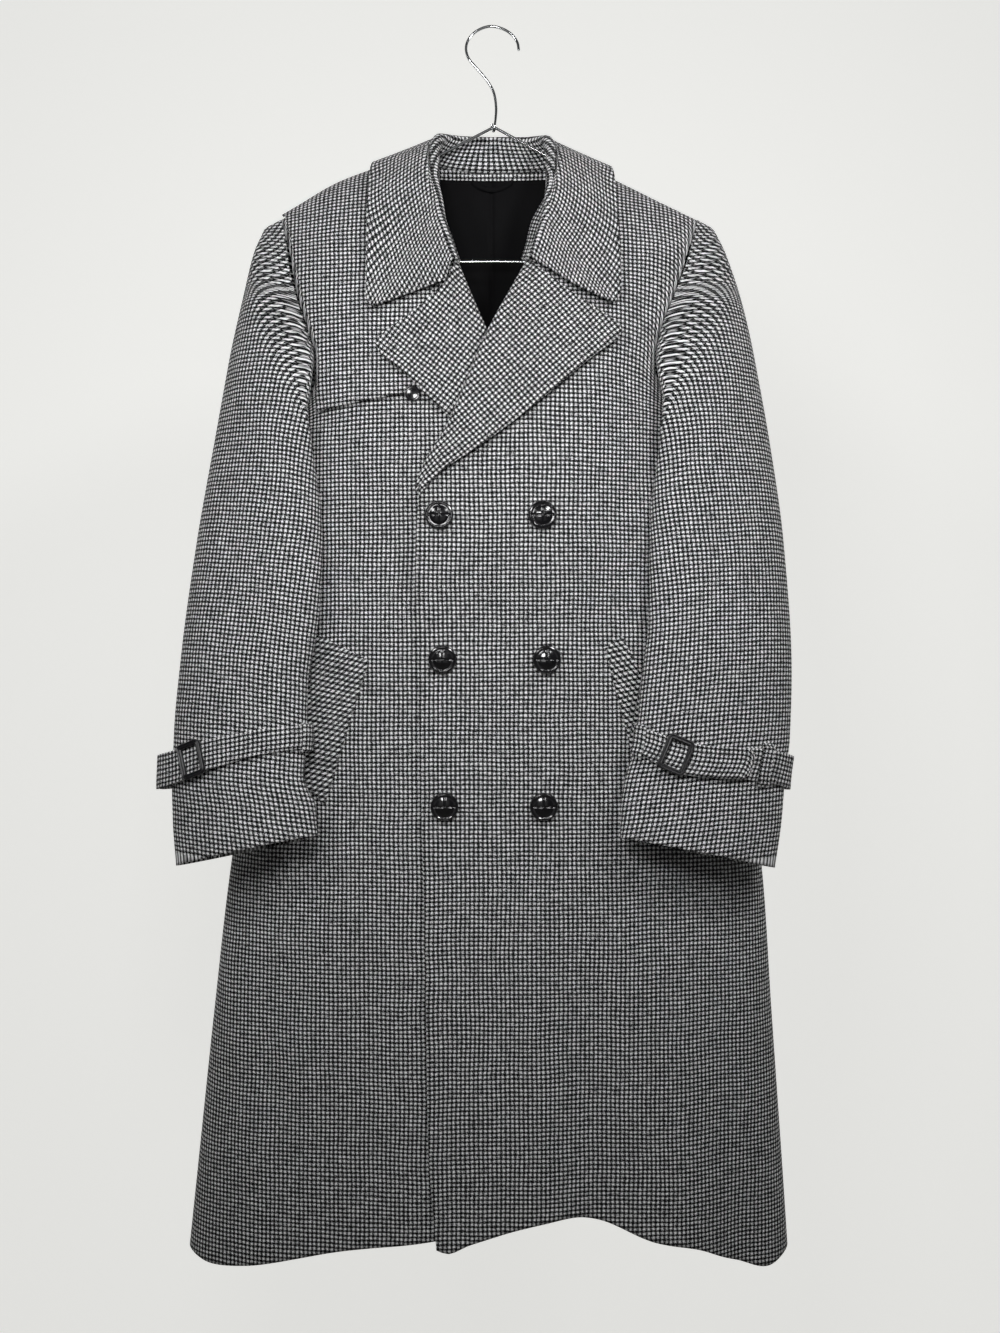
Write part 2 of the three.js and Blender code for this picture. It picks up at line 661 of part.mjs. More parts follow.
const sleeveRows = {
  right: [
    { t: 0, outX: -217, outY: 0, outZ: -194, inX: -189, inY: -42, inZ: -398, front: 20, back: 40 },
    { t: 0.03, outX: -235, outY: -1, outZ: -206, inX: -185, inY: -50, inZ: -410, front: 28, back: 36 },
    { t: 0.06, outX: -240, outY: -3, outZ: -224, inX: -181, inY: -55, inZ: -422, front: 32, back: 32 },
    { t: 0.12, outX: -249, outY: -8, outZ: -272, inX: -173, inY: -60, inZ: -448, front: 36, back: 26 },
    { t: 0.22, outX: -264, outY: -12, outZ: -342, inX: -168, inY: -63, inZ: -492, front: 38, back: 16 },
    { t: 0.34, outX: -279, outY: -18, outZ: -425, inX: -164, inY: -70, inZ: -545, front: 34, back: 15 },
    { t: 0.5, outX: -296, outY: -30, outZ: -535, inX: -167, inY: -75, inZ: -610, front: 32, back: 17 },
    { t: 0.66, outX: -308, outY: -44, outZ: -645, inX: -177, inY: -80, inZ: -680, front: 30, back: 18 },
    { t: 0.8, outX: -313, outY: -56, outZ: -730, inX: -178, inY: -84, inZ: -735, front: 28, back: 18 },
    { t: 0.86, outX: -313, outY: -62, outZ: -768, inX: -180, inY: -89, inZ: -765, front: 27, back: 19 },
    { t: 0.93, outX: -311, outY: -68, outZ: -810, inX: -167, inY: -95, inZ: -796, front: 27, back: 20 },
    { t: 1, outX: -306, outY: -74, outZ: -855, inX: -165, inY: -100, inZ: -822, front: 27, back: 21 },
  ],
  left: [
    { t: 0, outX: 216, outY: 0, outZ: -194, inX: 187, inY: -42, inZ: -398, front: 20, back: 40 },
    { t: 0.03, outX: 233, outY: -1, outZ: -206, inX: 182, inY: -50, inZ: -410, front: 28, back: 36 },
    { t: 0.06, outX: 240, outY: -3, outZ: -226, inX: 177, inY: -55, inZ: -422, front: 32, back: 32 },
    { t: 0.12, outX: 254, outY: -8, outZ: -274, inX: 167, inY: -60, inZ: -448, front: 36, back: 26 },
    { t: 0.22, outX: 270, outY: -12, outZ: -345, inX: 160, inY: -63, inZ: -492, front: 38, back: 16 },
    { t: 0.34, outX: 284, outY: -18, outZ: -425, inX: 157, inY: -72, inZ: -545, front: 34, back: 15 },
    { t: 0.5, outX: 297, outY: -30, outZ: -535, inX: 156, inY: -78, inZ: -610, front: 32, back: 17 },
    { t: 0.66, outX: 302, outY: -44, outZ: -645, inX: 147, inY: -84, inZ: -680, front: 30, back: 17 },
    { t: 0.8, outX: 298, outY: -56, outZ: -730, inX: 142, inY: -88, inZ: -735, front: 28, back: 16 },
    { t: 0.86, outX: 292, outY: -62, outZ: -768, inX: 131, inY: -92, inZ: -768, front: 27, back: 17 },
    { t: 0.93, outX: 287, outY: -68, outZ: -812, inX: 126, inY: -98, inZ: -798, front: 27, back: 19 },
    { t: 1, outX: 279, outY: -74, outZ: -857, inX: 126, inY: -102, inZ: -824, front: 27, back: 20 },
  ],
};
const sleeveColumns = ["outX", "outY", "outZ", "inX", "inY", "inZ", "front", "back"];
const underClear = 5 * gap; // the under sleeve's outer face to the body that it lies on
const topClear = underClear + 2 * sleeveWall + 7 * gap; // the top sleeve's, with the under sleeve between
const awayClear = sleeveWall + 15 * gap; // the sleeve's outer face to the body beside it
const innerFold = { turn: 180, v: 0.745 }; // where the sleeve's inner fold starts on the front armhole
const sideSeamTurn = 215;

// A point of the sleeve: t runs from the armhole to the cuff, turn from the outer line over the front.
function sleeveOf(wearerSide) {
  const sign = signOf[wearerSide];
  const c = curves(sleeveRows[wearerSide], "t", ...sleeveColumns);
  const outer = (t) => vec(c.outX(t), c.outY(t), c.outZ(t));
  const inner = (t) => vec(c.inX(t), c.inY(t), c.inZ(t));
  const centre = (t) => outer(t).lerp(inner(t), 0.5);
  const [frontLine, backLine] = [frontArmhole, backArmhole].map((rows) => curves(rows, "v", wearerSide, "z"));
  const wrap = (turn) => ((turn % 360) + 360) % 360;
  // 1 where the under sleeve lies on the body, face to face
  const tucked = (turn) => smoothstep(turn, 172, 190) * (1 - smoothstep(turn, 198, 212));
  const clearOf = (turn) => lerp(turn < 190 ? topClear : awayClear, underClear, tucked(turn));

  function armhole(turn) {
    const v =
      turn < innerFold.turn
        ? lerp(1, innerFold.v, turn / innerFold.turn)
        : turn < sideSeamTurn
          ? lerp(innerFold.v, underarm.v, (turn - innerFold.turn) / (sideSeamTurn - innerFold.turn))
          : lerp(underarm.v, 1, (turn - sideSeamTurn) / (360 - sideSeamTurn));
    const line = turn < sideSeamTurn ? frontLine : backLine;
    const low = smoothstep(180 - Math.abs(180 - turn), 10, 60);
    const lift = low * awayClear;
    const found = onBody(line[wearerSide](v), line.z(v), turn < sideSeamTurn ? -1 : 1, lift);
    found.point.x += sign * lerp(1.5, 6, low) * gap;
    return found;
  }

  function section(t, turn) {
    const half = outer(t).sub(inner(t)).multiplyScalar(0.5);
    const axis = centre(Math.min(t + 0.02, 1)).sub(centre(Math.max(t - 0.02, 0)));
    const forward = axis.cross(half).normalize();
    if (forward.y > 0) forward.negate();
    const rise = Math.sin(degToRad(turn));
    return centre(t)
      .addScaledVector(half, Math.cos(degToRad(turn)))
      .addScaledVector(forward, rise * (rise > 0 ? c.front(t) : c.back(t)));
  }

  const place = (t, turn) => {
    const around = wrap(turn);
    const low = (1 - Math.cos(degToRad(around))) / 2;
    const left = armhole(around).point.sub(section(0, turn));
    const fade = 1 - smoothstep(t, 0, lerp(0.06, 0.26, low));
    const joined = section(t, turn).addScaledVector(left, fade);
    const held = (1 - smoothstep(joined.z, underarm.z + 30, underarm.z + 75)) * smoothstep(t, 0, 0.012);
    if (held === 0) return joined;
    return joined.lerp(seat(joined, clearOf(around)), held);
  };
  return (t, turn, lift = 0) => {
    const [dt, dTurn] = [0.004, 2];
    const across = place(t, turn + dTurn).sub(place(t, turn - dTurn));
    const down = place(Math.min(t + dt, 1), turn).sub(place(Math.max(t - dt, 0), turn));
    const out = across.cross(down).multiplyScalar(sign).normalize();
    const flat = 1 - smoothstep(wrap(turn), 60, 110) * (1 - smoothstep(wrap(turn), 218, 236));
    if (t < 0.05) out.lerp(armhole(wrap(turn)).out, flat * (1 - t / 0.05)).normalize();
    return { point: place(t, turn).addScaledVector(out, lift), out };
  };
}
const sleeves = { right: sleeveOf("right"), left: sleeveOf("left") };

const headSteps = {
  top: [0, 0.015, 0.035, 0.053, 0.075, 0.09, 0.105],
  under: [0, 0.015, 0.025, 0.035, 0.044, 0.053, 0.063, 0.075, 0.09, 0.105],
};
const sleeveSteps = [
  0.14, 0.175, 0.215, 0.265, 0.33, 0.42, 0.52, 0.62, 0.72, 0.79, 0.85, 0.9, 0.95, 1,
];
const seamTurns = { front: 186, back: 300 }; // the seams of the under sleeve, out of sight behind
const seamHalf = 0.4; // degrees on each side that leave the seam's gap
const topTurns = [
  seamTurns.back - 360 + seamHalf, -40, -20, 0, 20, 40, 62, 86, 108, 128, 146, 160, 170, 179,
  seamTurns.front - seamHalf,
];
const underTurns = [
  seamTurns.front + seamHalf, 193, 201, 208, 214, 220, 226, 234, 246, 262, 280, seamTurns.back - seamHalf,
];
for (const wearerSide of ["right", "left"])
  for (const [piece, turns] of [
    ["top", topTurns],
    ["under", underTurns],
  ]) {
    const grid = [...headSteps[piece], ...sleeveSteps].map((t) =>
      turns.map((turn) => sleeves[wearerSide](t, turn)),
    );
    sheet(`sleeve_${wearerSide}_${piece}`, grid.map(points), grid.map(outs), sleeveWall);
  }

// Cuff straps: each starts under its buckle, goes round the sleeve and ends in a free tip on top

const straps = {
  right: { buckle: 62, tip: -4, bulge: 9, dip: 0.002, loops: [[172, 9], [-60, 6]] },
  left: { buckle: 124, tip: 66, bulge: 3, dip: 0.024, loops: [[164, 8], [54, 5]] },
};
function strapAt(wearerSide, turn) {
  const { buckle, dip } = straps[wearerSide];
  const near = (((((turn - buckle + 12) % 360) + 540) % 360) - 180) / 42;
  return 0.82 + 0.035 * Math.cos(degToRad(turn)) + dip * Math.exp(-near * near);
}
const strapLayer = strapWall + 4.4 * gap;
const strapHalf = 0.0255; // half the strap's width, along the sleeve
const tipLength = 9; // degrees of the strap's rounded tip

function onStrap(wearerSide, turn, across, lift) {
  const fromOuter = (((turn % 360) + 540) % 360) - 180;
  const bulge = straps[wearerSide].bulge * Math.exp(-((fromOuter / 34) ** 2));
  return sleeves[wearerSide](strapAt(wearerSide, turn) + across * strapHalf, turn, lift + bulge);
}

function strap(wearerSide) {
  const { buckle, tip } = straps[wearerSide];
  const [start, end] = [buckle + 360, tip];
  const layer = strapLayer;
  const shared = [0, 1].flatMap((lap) => [...topTurns, ...underTurns].map((turn) => turn + 360 * lap));
  const inside = shared.filter((turn) => turn > end + tipLength && turn < start - 4);
  const tipTurns = [0.67, 0.33, 0.11, 0].map((s) => end + s * tipLength);
  const along = [start, ...inside.sort((a, b) => b - a), end + tipLength, ...tipTurns];
  const grid = along.map((turn) => {
    const past = smoothstep(buckle + 36 - turn, 0, 20);
    const nearTip = clamp((turn - end) / tipLength, 0, 1);
    const half = Math.sqrt(1 - (1 - nearTip) ** 2) * 0.75 + 0.25;
    return [-1, 0, 1].map((side) => onStrap(wearerSide, turn, side * half, layer + past * layer));
  });
  sheet(`strap_${wearerSide}`, grid.map(points), grid.map(outs), strapWall);
}

function strapLoop(wearerSide, number, [turn, halfTurn]) {
  const layer = strapLayer;
  const grid = [-1.35, -1.22, -1.1, 0, 1.1, 1.22, 1.35].map((across) =>
    [-halfTurn, 0, halfTurn].map((side) => {
      const over = 1 - smoothstep(Math.abs(across), 1.12, 1.3);
      return onStrap(wearerSide, turn + side, across, layer + over * layer);
    }),
  );
  sheet(`strap_loop_${wearerSide}_${number}`, grid.map(points), grid.map(outs), strapWall);
}

// A covered buckle: a rounded frame that lies over the strap.
function buckle(wearerSide) {
  const [width, height, bar, thickness] = [27, 35, 5, 4];
  const rounded = (w, h, r) => {
    const [x, y] = [w / 2, h / 2];
    const path = new THREE.Shape();
    path.moveTo(-x + r, -y);
    path.lineTo(x - r, -y);
    path.quadraticCurveTo(x, -y, x, -y + r);
    path.lineTo(x, y - r);
    path.quadraticCurveTo(x, y, x - r, y);
    path.lineTo(-x + r, y);
    path.quadraticCurveTo(-x, y, -x, y - r);
    path.lineTo(-x, -y + r);
    path.quadraticCurveTo(-x, -y, -x + r, -y);
    return path;
  };
  const outline = rounded(width, height, 5);
  outline.holes.push(rounded(width - 2 * bar, height - 2 * bar + 2, 2.5));
  const geometry = new THREE.ExtrudeGeometry(outline, {
    depth: thickness - 1.6,
    bevelEnabled: true,
    bevelThickness: 0.8,
    bevelSize: 0.8,
    bevelOffset: -0.8,
    bevelSegments: 1,
    curveSegments: 3,
  });
  const turn = straps[wearerSide].buckle;
  const seatOn = onStrap(wearerSide, turn, 0, 2 * strapLayer + 2 * gap + 1);
  const mesh = add(`buckle_${wearerSide}`, geometry, material.horn);
  const along = onStrap(wearerSide, turn + 3, 0, 0).point.sub(onStrap(wearerSide, turn - 3, 0, 0).point);
  const across = seatOn.out.clone().cross(along).normalize();
  along.copy(across).cross(seatOn.out);
  mesh.matrix.makeBasis(along, across, seatOn.out).setPosition(seatOn.point);
  mesh.matrix.decompose(mesh.position, mesh.quaternion, mesh.scale);
}

for (const wearerSide of ["right", "left"]) {
  strap(wearerSide);
  straps[wearerSide].loops.forEach((place, k) => strapLoop(wearerSide, k + 1, place));
  buckle(wearerSide);
}

// Buttons: domed, with a raised rim

function button(name, found, width, height, finish = material.horn) {
  const half = width / 2;
  const profile = [
    [0, 0],
    [half * 0.8, 0],
    [half, height * 0.3],
    [half, height * 0.62],
    [half * 0.86, height * 0.72],
    [half * 0.5, height * 0.94],
    [0, height],
  ].map(([x, y]) => new THREE.Vector2(x, y));
  const mesh = add(name, new THREE.LatheGeometry(profile, 14), finish);
  mesh.position.copy(found.point).addScaledVector(found.out, 2 * gap);
  mesh.quaternion.setFromUnitVectors(vec(0, 1, 0), found.out);
}

const buttonRows = [
  { name: "upper", right: -48, left: 51, z: -513 },
  { name: "middle", right: -46, left: 56, z: -653 },
  { name: "lower", right: -44, left: 53, z: -797 },
];
for (const row of buttonRows)
  for (const column of ["right", "left"])
    button(`button_${row.name}_${column}`, onFront("left", row[column], row.z), buttonWidth, 7.5);
button("button_flap", onBody(flapButton.x, flapButton.z, -1, onPanel), 15, 2);

// Black back lining and the hanging loop, which show in the neck

const liningIn = wall + 2.2; // from the coat's outer face to the lining's back
{
  const found = [0, 0.15, 0.35, 0.55, 0.7, 0.8, 0.88, 0.94, 0.97, 1].map((v) =>
    steps(10).map((u) => {
      const half = lerp(105, 62, v);
      const x = middle + lerp(-half, half, u);
      return onBody(x, lerp(-420, -143, v), 1, -liningIn);
    }),
  );
  sheet("lining_back", found.map(points), found.map(outs), liningWall, material.lining);
}
{
  const [half, sag, width] = [22, 8, 5];
  const found = [-1, 1].map((side) =>
    steps(8).map((s) => {
      const x = middle + lerp(-half, half, s);
      const z = -144 - sag * (1 - (2 * s - 1) ** 2) + (side * width) / 2;
      return onBody(x, z, 1, -liningIn - liningWall - 2 * gap);
    }),
  );
  sheet("hanging_loop", found.map(points), found.map(outs), 1.2, material.lining);
}

// Wire hanger: a closed frame under the shoulders and a hook looped round its apex

const underShoulder = (x) => shoulder(x) - (wall + gap + wire / 2) * 1.22;
const apex = { x: 4, z: -98 };
const barZ = -238;
{
  const arm = (xs) => xs.map((x) => vec(x, 0, underShoulder(x)));
  const path = new THREE.CatmullRomCurve3(
    [
      vec(apex.x, 0, apex.z),
      vec(apex.x + 3, 0, apex.z - 1.5),
      vec(61, 0, -129),
      vec(80, 0, -139),
      ...arm([100, 130, 160]),
      vec(190, 0, underShoulder(190) - 1.5),
      vec(201, 0, -204),
      vec(205, 0, -219),
      vec(199, 0, -233),
      vec(185, 0, barZ),
      vec(3, 0, barZ),
      vec(-182, 0, barZ),
      vec(-197, 0, -233),
      vec(-204, 0, -219),
      vec(-201, 0, -205),
      vec(-190, 0, underShoulder(-190) - 2.2),
      vec(-160, 0, underShoulder(-160) - 0.6),
      ...arm([-130, -100]),
      vec(-75, 0, -139),
      vec(-56, 0, -129),
      vec(apex.x - 3, 0, apex.z - 1.5),
    ],
    true,
    "centripetal",
  );
  add("hanger_frame", new THREE.TubeGeometry(path, 72, wire / 2, 6, true), material.chrome);
}
{
  const ring = wire + 2 * gap; // from the apex to the eye's own middle line
  const path = new THREE.CatmullRomCurve3(
    [
      vec(30, 0, -18),
      vec(28.5, 0, -10),
      vec(23.5, 0, -2.5),
      vec(14, 0, 4),
      vec(0, 0, crownHeight + wire / 2),
      vec(-14, 0, 2),
      vec(-22.5, 0, -7),
      vec(-25, 0, -16),
      vec(-22.5, 0, -26),
      vec(-15, 0, -35.5),
      vec(-5, 0, -47),
      vec(3.5, 0, -61),
      vec(6.3, 0, -77),
      vec(5.8, -1.2, -90),
      vec(5, -ring, apex.z + 1),
      vec(4.5, -ring * 0.7, apex.z - ring * 0.75),
      vec(4, 0, apex.z - ring * 1.05),
      vec(3, ring * 0.75, apex.z - ring * 0.7),
      vec(2.2, ring, apex.z + 1.2),
      vec(1.6, ring * 0.9, apex.z + 5),
    ],
    false,
    "centripetal",
  );
  const disc = new THREE.Shape().absarc(0, 0, wire / 2, 0, 2 * Math.PI);
  const geometry = new THREE.ExtrudeGeometry(disc, { extrudePath: path, steps: 50, curveSegments: 4 });
  add("hanger_hook", geometry, material.chrome);
}

coat.position.z = -crownHeight;

export default coat;
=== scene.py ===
import math

import bmesh
import bpy
import numpy as np
from mathutils import Matrix, Vector


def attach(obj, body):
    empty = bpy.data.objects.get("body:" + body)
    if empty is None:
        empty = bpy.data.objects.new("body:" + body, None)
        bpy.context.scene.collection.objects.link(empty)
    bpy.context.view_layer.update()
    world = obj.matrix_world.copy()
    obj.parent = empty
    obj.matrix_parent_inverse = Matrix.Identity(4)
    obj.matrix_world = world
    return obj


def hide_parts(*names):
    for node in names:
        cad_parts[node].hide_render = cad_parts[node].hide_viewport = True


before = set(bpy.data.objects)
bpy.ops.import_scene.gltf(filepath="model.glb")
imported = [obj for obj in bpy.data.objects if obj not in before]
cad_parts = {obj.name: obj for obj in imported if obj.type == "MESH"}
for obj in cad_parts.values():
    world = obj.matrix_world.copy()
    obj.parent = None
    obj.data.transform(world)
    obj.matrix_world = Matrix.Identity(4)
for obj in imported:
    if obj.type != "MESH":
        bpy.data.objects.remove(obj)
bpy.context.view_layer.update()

# A long double-breasted overcoat on a wire hanger. The tables are in millimetres, with the front
# towards -Y, the wearer's left towards +X, and z measured from the middle of the peg.

crownHeight = 5.5  # the peg's middle to the underside of the hook's crown, the frame's origin
gap = 0.3
wall = 3.0
sleeveWall = 2.0
thin = 2.5
strapWall = 2.0
liningWall = 1.0
middle = 2.0  # x of the centre back seam
wire = 3.0
crownFall = 95.0  # how far below the shoulder the body reaches its full depth
signOf = {"right": -1.0, "left": 1.0}


# Tables and curves

def smoothstep(value, low, high):
    share = np.clip((value - low) / (high - low), 0, 1)
    return share * share * (3 - 2 * share)


def lerp(start, end, share):
    return start + (end - start) * share


def through(table, key, column):
    at = np.array(table[key], float)
    to = np.array(table[column], float)
    rise = np.diff(to) / np.diff(at)
    slope = np.empty_like(at)
    slope[0] = rise[0]
    slope[-1] = rise[-1]
    before, after = rise[:-1], rise[1:]
    total = np.where(before + after == 0, 1, before + after)
    slope[1:-1] = np.where(before * after > 0, 2 * before * after / total, 0)

    def value(v):
        v = np.clip(v, at[0], at[-1])
        k = np.clip(np.searchsorted(at, v, side="right") - 1, 0, len(rise) - 1)
        span = at[k + 1] - at[k]
        s = (v - at[k]) / span
        return (
            to[k] * (1 + 2 * s) * (1 - s) ** 2
            + to[k + 1] * s * s * (3 - 2 * s)
            + span * s * (1 - s) * (slope[k] * (1 - s) - slope[k + 1] * s)
        )

    return value


def curvesOf(table, key):
    return {column: through(table, key, column) for column in table if column != key}


def stacked(x, y, z):
    return np.stack(np.broadcast_arrays(x, y, z), axis=-1).astype(float)


def unit(vectors):
    return vectors / np.maximum(np.linalg.norm(vectors, axis=-1, keepdims=True), 1e-9)


# The body: side seams, the y they lie at, and the depth of front and back

bodyForm = {
    "z": [-1290, -1187, -1018, -872, -700, -560, -414, -300, -205, -100],
    "right": [-317, -306, -288, -271, -247, -228, -215, -229, -242, -248],
    "left": [313, 306, 294, 284, 258, 238, 219, 231, 244, 250],
    "side": [8, 7, 6, 5, 5, 5, 5, 3, 1, 0],
    "front": [72, 72, 73, 74, 75, 76, 76, 68, 52, 44],
    "back": [34, 34, 34, 34, 34, 35, 38, 40, 38, 36],
}
shoulderForm = {
    "x": [-242, -217, -199, -156, -116, -75, 2, 88, 124, 172, 216, 244],
    "z": [-209, -194, -184, -160, -145, -130, -112, -134, -151, -174, -195, -210],
}
body = curvesOf(bodyForm, "z")
shoulder = through(shoulderForm, "x", "z")

# Folds that hang open towards the hem: face -1 is the front, a depth above 0 goes towards the back
folds = [
    {"face": -1, "x": 88, "lean": 0.03, "width": 34, "depth": 8, "top": -760},
    {"face": -1, "x": 222, "lean": 0.1, "width": 22, "depth": 6, "top": -930},
    {"face": -1, "x": 176, "lean": 0.05, "width": 30, "depth": -5, "top": -880},
    {"face": -1, "x": -150, "lean": -0.05, "width": 46, "depth": 4, "top": -900},
    {"face": 1, "x": -120, "lean": -0.06, "width": 40, "depth": -6, "top": -800},
    {"face": 1, "x": 135, "lean": 0.05, "width": 44, "depth": -7, "top": -860},
]
# Creases listed one by one: the middle, the angle from level, half the length, half the width, the depth
creases = [
    {"face": -1, "x": -118, "z": -1050, "angle": 93, "long": 190, "wide": 17, "depth": 1.6},
    {"face": -1, "x": -215, "z": -1080, "angle": 96, "long": 150, "wide": 15, "depth": 2.0},
    {"face": -1, "x": -262, "z": -1010, "angle": 98, "long": 130, "wide": 12, "depth": -1.6},
    {"face": -1, "x": 20, "z": -1040, "angle": 90, "long": 170, "wide": 15, "depth": 1.4},
    {"face": -1, "x": 132, "z": -1030, "angle": 86, "long": 150, "wide": 13, "depth": -1.5},
    {"face": -1, "x": 252, "z": -1120, "angle": 82, "long": 120, "wide": 13, "depth": -1.8},
    {"face": -1, "x": -96, "z": -560, "angle": 84, "long": 70, "wide": 12, "depth": 1.3},
    {"face": -1, "x": 126, "z": -560, "angle": 97, "long": 90, "wide": 16, "depth": 1.6},
    {"face": -1, "x": 104, "z": -700, "angle": 88, "long": 80, "wide": 14, "depth": 1.1},
    {"face": -1, "x": 0, "z": -585, "angle": 4, "long": 60, "wide": 20, "depth": 0.9},
    {"face": -1, "x": 4, "z": -728, "angle": -5, "long": 66, "wide": 22, "depth": 1.0},
    {"face": -1, "x": 128, "z": -500, "angle": 58, "long": 60, "wide": 13, "depth": 1.3},
    {"face": -1, "x": -130, "z": -470, "angle": 118, "long": 58, "wide": 12, "depth": 1.4},
    {"face": -1, "x": 148, "z": -235, "angle": 64, "long": 60, "wide": 12, "depth": 1.2},
    {"face": -1, "x": 165, "z": -330, "angle": 104, "long": 60, "wide": 10, "depth": 1.6},
    {"face": 1, "x": -40, "z": -980, "angle": 91, "long": 210, "wide": 19, "depth": 1.8},
    {"face": 1, "x": 62, "z": -1060, "angle": 88, "long": 160, "wide": 16, "depth": -1.9},
    {"face": 1, "x": -215, "z": -1050, "angle": 97, "long": 150, "wide": 15, "depth": -2.2},
    {"face": 1, "x": 228, "z": -1010, "angle": 84, "long": 170, "wide": 17, "depth": 2.0},
    {"face": 1, "x": -120, "z": -350, "angle": 115, "long": 75, "wide": 15, "depth": -1.7},
    {"face": 1, "x": 118, "z": -372, "angle": 62, "long": 82, "wide": 14, "depth": -1.5},
    {"face": 1, "x": 40, "z": -620, "angle": 8, "long": 90, "wide": 20, "depth": -1.1},
]


def foldAt(x, z, face):
    total = np.zeros(np.broadcast(x, z, face).shape)
    for fold in folds:
        opened = smoothstep(fold["top"] - z, 0, 380)
        across = (x - fold["x"] - fold["lean"] * (fold["top"] - z)) / fold["width"]
        total = total + (face == fold["face"]) * fold["depth"] * opened * np.exp(-across * across)
    for crease in creases:
        turn = math.radians(crease["angle"])
        dx, dz = x - crease["x"], z - crease["z"]
        along = (dx * math.cos(turn) + dz * math.sin(turn)) / crease["long"]
        bend = 0.12 * crease["wide"] * along * along
        across = (dz * math.cos(turn) - dx * math.sin(turn) - bend) / crease["wide"]
        soft = np.exp(-across * across - along * along)
        total = total + (face == crease["face"]) * crease["depth"] * soft
    return total


def shapeAt(x, y, z, face):
    half = np.where(x < 0, -body["right"](z), body["left"](z))
    depth = np.where(face < 0, body["front"](z), body["back"](z))
    across = 1 - np.abs(x / half) ** 2.6
    down = np.minimum((shoulder(x) - z) / crownFall, 1)
    reach = across * (1 - (1 - down) ** 2)
    level = y - body["side"](z) - foldAt(x, z, face)
    return level * level - depth * depth * reach, depth * np.sqrt(np.maximum(reach, 0))


def slopeAt(points, face):
    x, y, z = points[..., 0], points[..., 1], points[..., 2]
    step = 0.5
    return stacked(
        shapeAt(x + step, y, z, face)[0] - shapeAt(x - step, y, z, face)[0],
        shapeAt(x, y + step, z, face)[0] - shapeAt(x, y - step, z, face)[0],
        shapeAt(x, y, z + step, face)[0] - shapeAt(x, y, z - step, face)[0],
    ) / (2 * step)


def onBody(x, z, face, lift=0.0):
    x, z, face, lift = (np.asarray(a, float) for a in np.broadcast_arrays(x, z, face, lift))
    y = body["side"](z) + foldAt(x, z, face) + face * shapeAt(x, 0 * x, z, face)[1]
    points = stacked(x, y, z)
    out = unit(slopeAt(points, face))
    return points + out * lift[..., None], out


def seated(points, lift, exact=False):
    points = points.copy()
    for _ in range(6):
        face = np.where(points[..., 1] < body["side"](points[..., 2]), -1.0, 1.0)
        slope = slopeAt(points, face)
        steep = np.linalg.norm(slope, axis=-1)
        far = shapeAt(points[..., 0], points[..., 1], points[..., 2], face)[0] / steep
        push = np.where((far < lift) | exact, (lift - far) * 0.8, 0)
        points = points + unit(slope) * push[..., None]
    return points


# Edges of the panels

underarm = {"v": 0.7, "right": -215, "left": 219, "z": -414}
hemAtSide = -1262
frontArmhole = {
    "v": [0.7, 0.72, 0.745, 0.775, 0.81, 0.85, 0.9, 0.96, 1],
    "right": [-215, -204, -189, -176, -171, -179, -190, -206, -217],
    "left": [219, 205, 187, 169, 161, 168, 181, 204, 216],
    "z": [-414, -410, -398, -378, -352, -322, -288, -230, -194],
}
backArmhole = {
    "v": [0.7, 0.725, 0.76, 0.8, 0.85, 0.9, 0.96, 1],
    "right": [-215, -204, -191, -184, -185, -192, -206, -217],
    "left": [219, 208, 195, 188, 189, 194, 206, 216],
    "z": [-414, -407, -387, -356, -320, -282, -230, -194],
}
frontEdges = {
    "right": {
        "v": [0, 0.3, 0.6, 0.66, 0.74, 0.82, 0.9, 0.95, 1],
        "x": [74, 74, 74, 72, 38, -2, -34, -52, -75],
        "z": [-1196, -950, -560, -489, -417, -338, -261, -208, -130],
    },
    "left": {
        "v": [0, 0.1, 0.3, 0.42, 0.58, 0.66, 0.74, 0.82, 0.9, 0.95, 1],
        "x": [-52, -60, -63, -67, -71, -67, -33, 0, 39, 60.5, 86],
        "z": [-1234, -1130, -930, -780, -570, -489, -417, -338, -261, -208, -133],
    },
}
hemLines = {
    "right": {
        "x": [-315, -285, -248, -213, -136, -58, -30, 17, 74],
        "z": [hemAtSide, -1268, -1264, -1257, -1240, -1229, -1222, -1206, -1196],
    },
    "left": {
        "x": [-52, -40, -19, 54, 85, 108, 165, 204, 248, 284, 311],
        "z": [-1234, -1238, -1230, -1210, -1206, -1209, -1232, -1240, -1260, -1272, hemAtSide],
    },
    "back": {"x": [-315, -150, 2, 150, 311], "z": [hemAtSide, -1246, -1240, -1246, hemAtSide]},
}
backNeckLine = {"x": [-75, -48, 2, 55, 86], "z": [-130, -134, -136, -136, -133]}
hems = {side: through(line, "x", "z") for side, line in hemLines.items()}
backNeck = through(backNeckLine, "x", "z")
edgeCurves = {side: curvesOf(line, "v") for side, line in frontEdges.items()}


def between(side, edge, hem, top, us, vs):
    u, v = np.meshgrid(us, vs)
    low, high = np.zeros(1), np.ones(1)
    corners = [side(low), edge(low), side(high), edge(high)]
    found = []
    for k in range(2):
        found.append(
            (1 - u) * side(v)[k]
            + u * edge(v)[k]
            + (1 - v) * hem(u)[k]
            + v * top(u)[k]
            - (1 - u) * (1 - v) * corners[0][k]
            - u * (1 - v) * corners[1][k]
            - (1 - u) * v * corners[2][k]
            - u * v * corners[3][k]
        )
    return found


underSleeve = 3.5  # how far the armhole's edges reach in under the sleeves


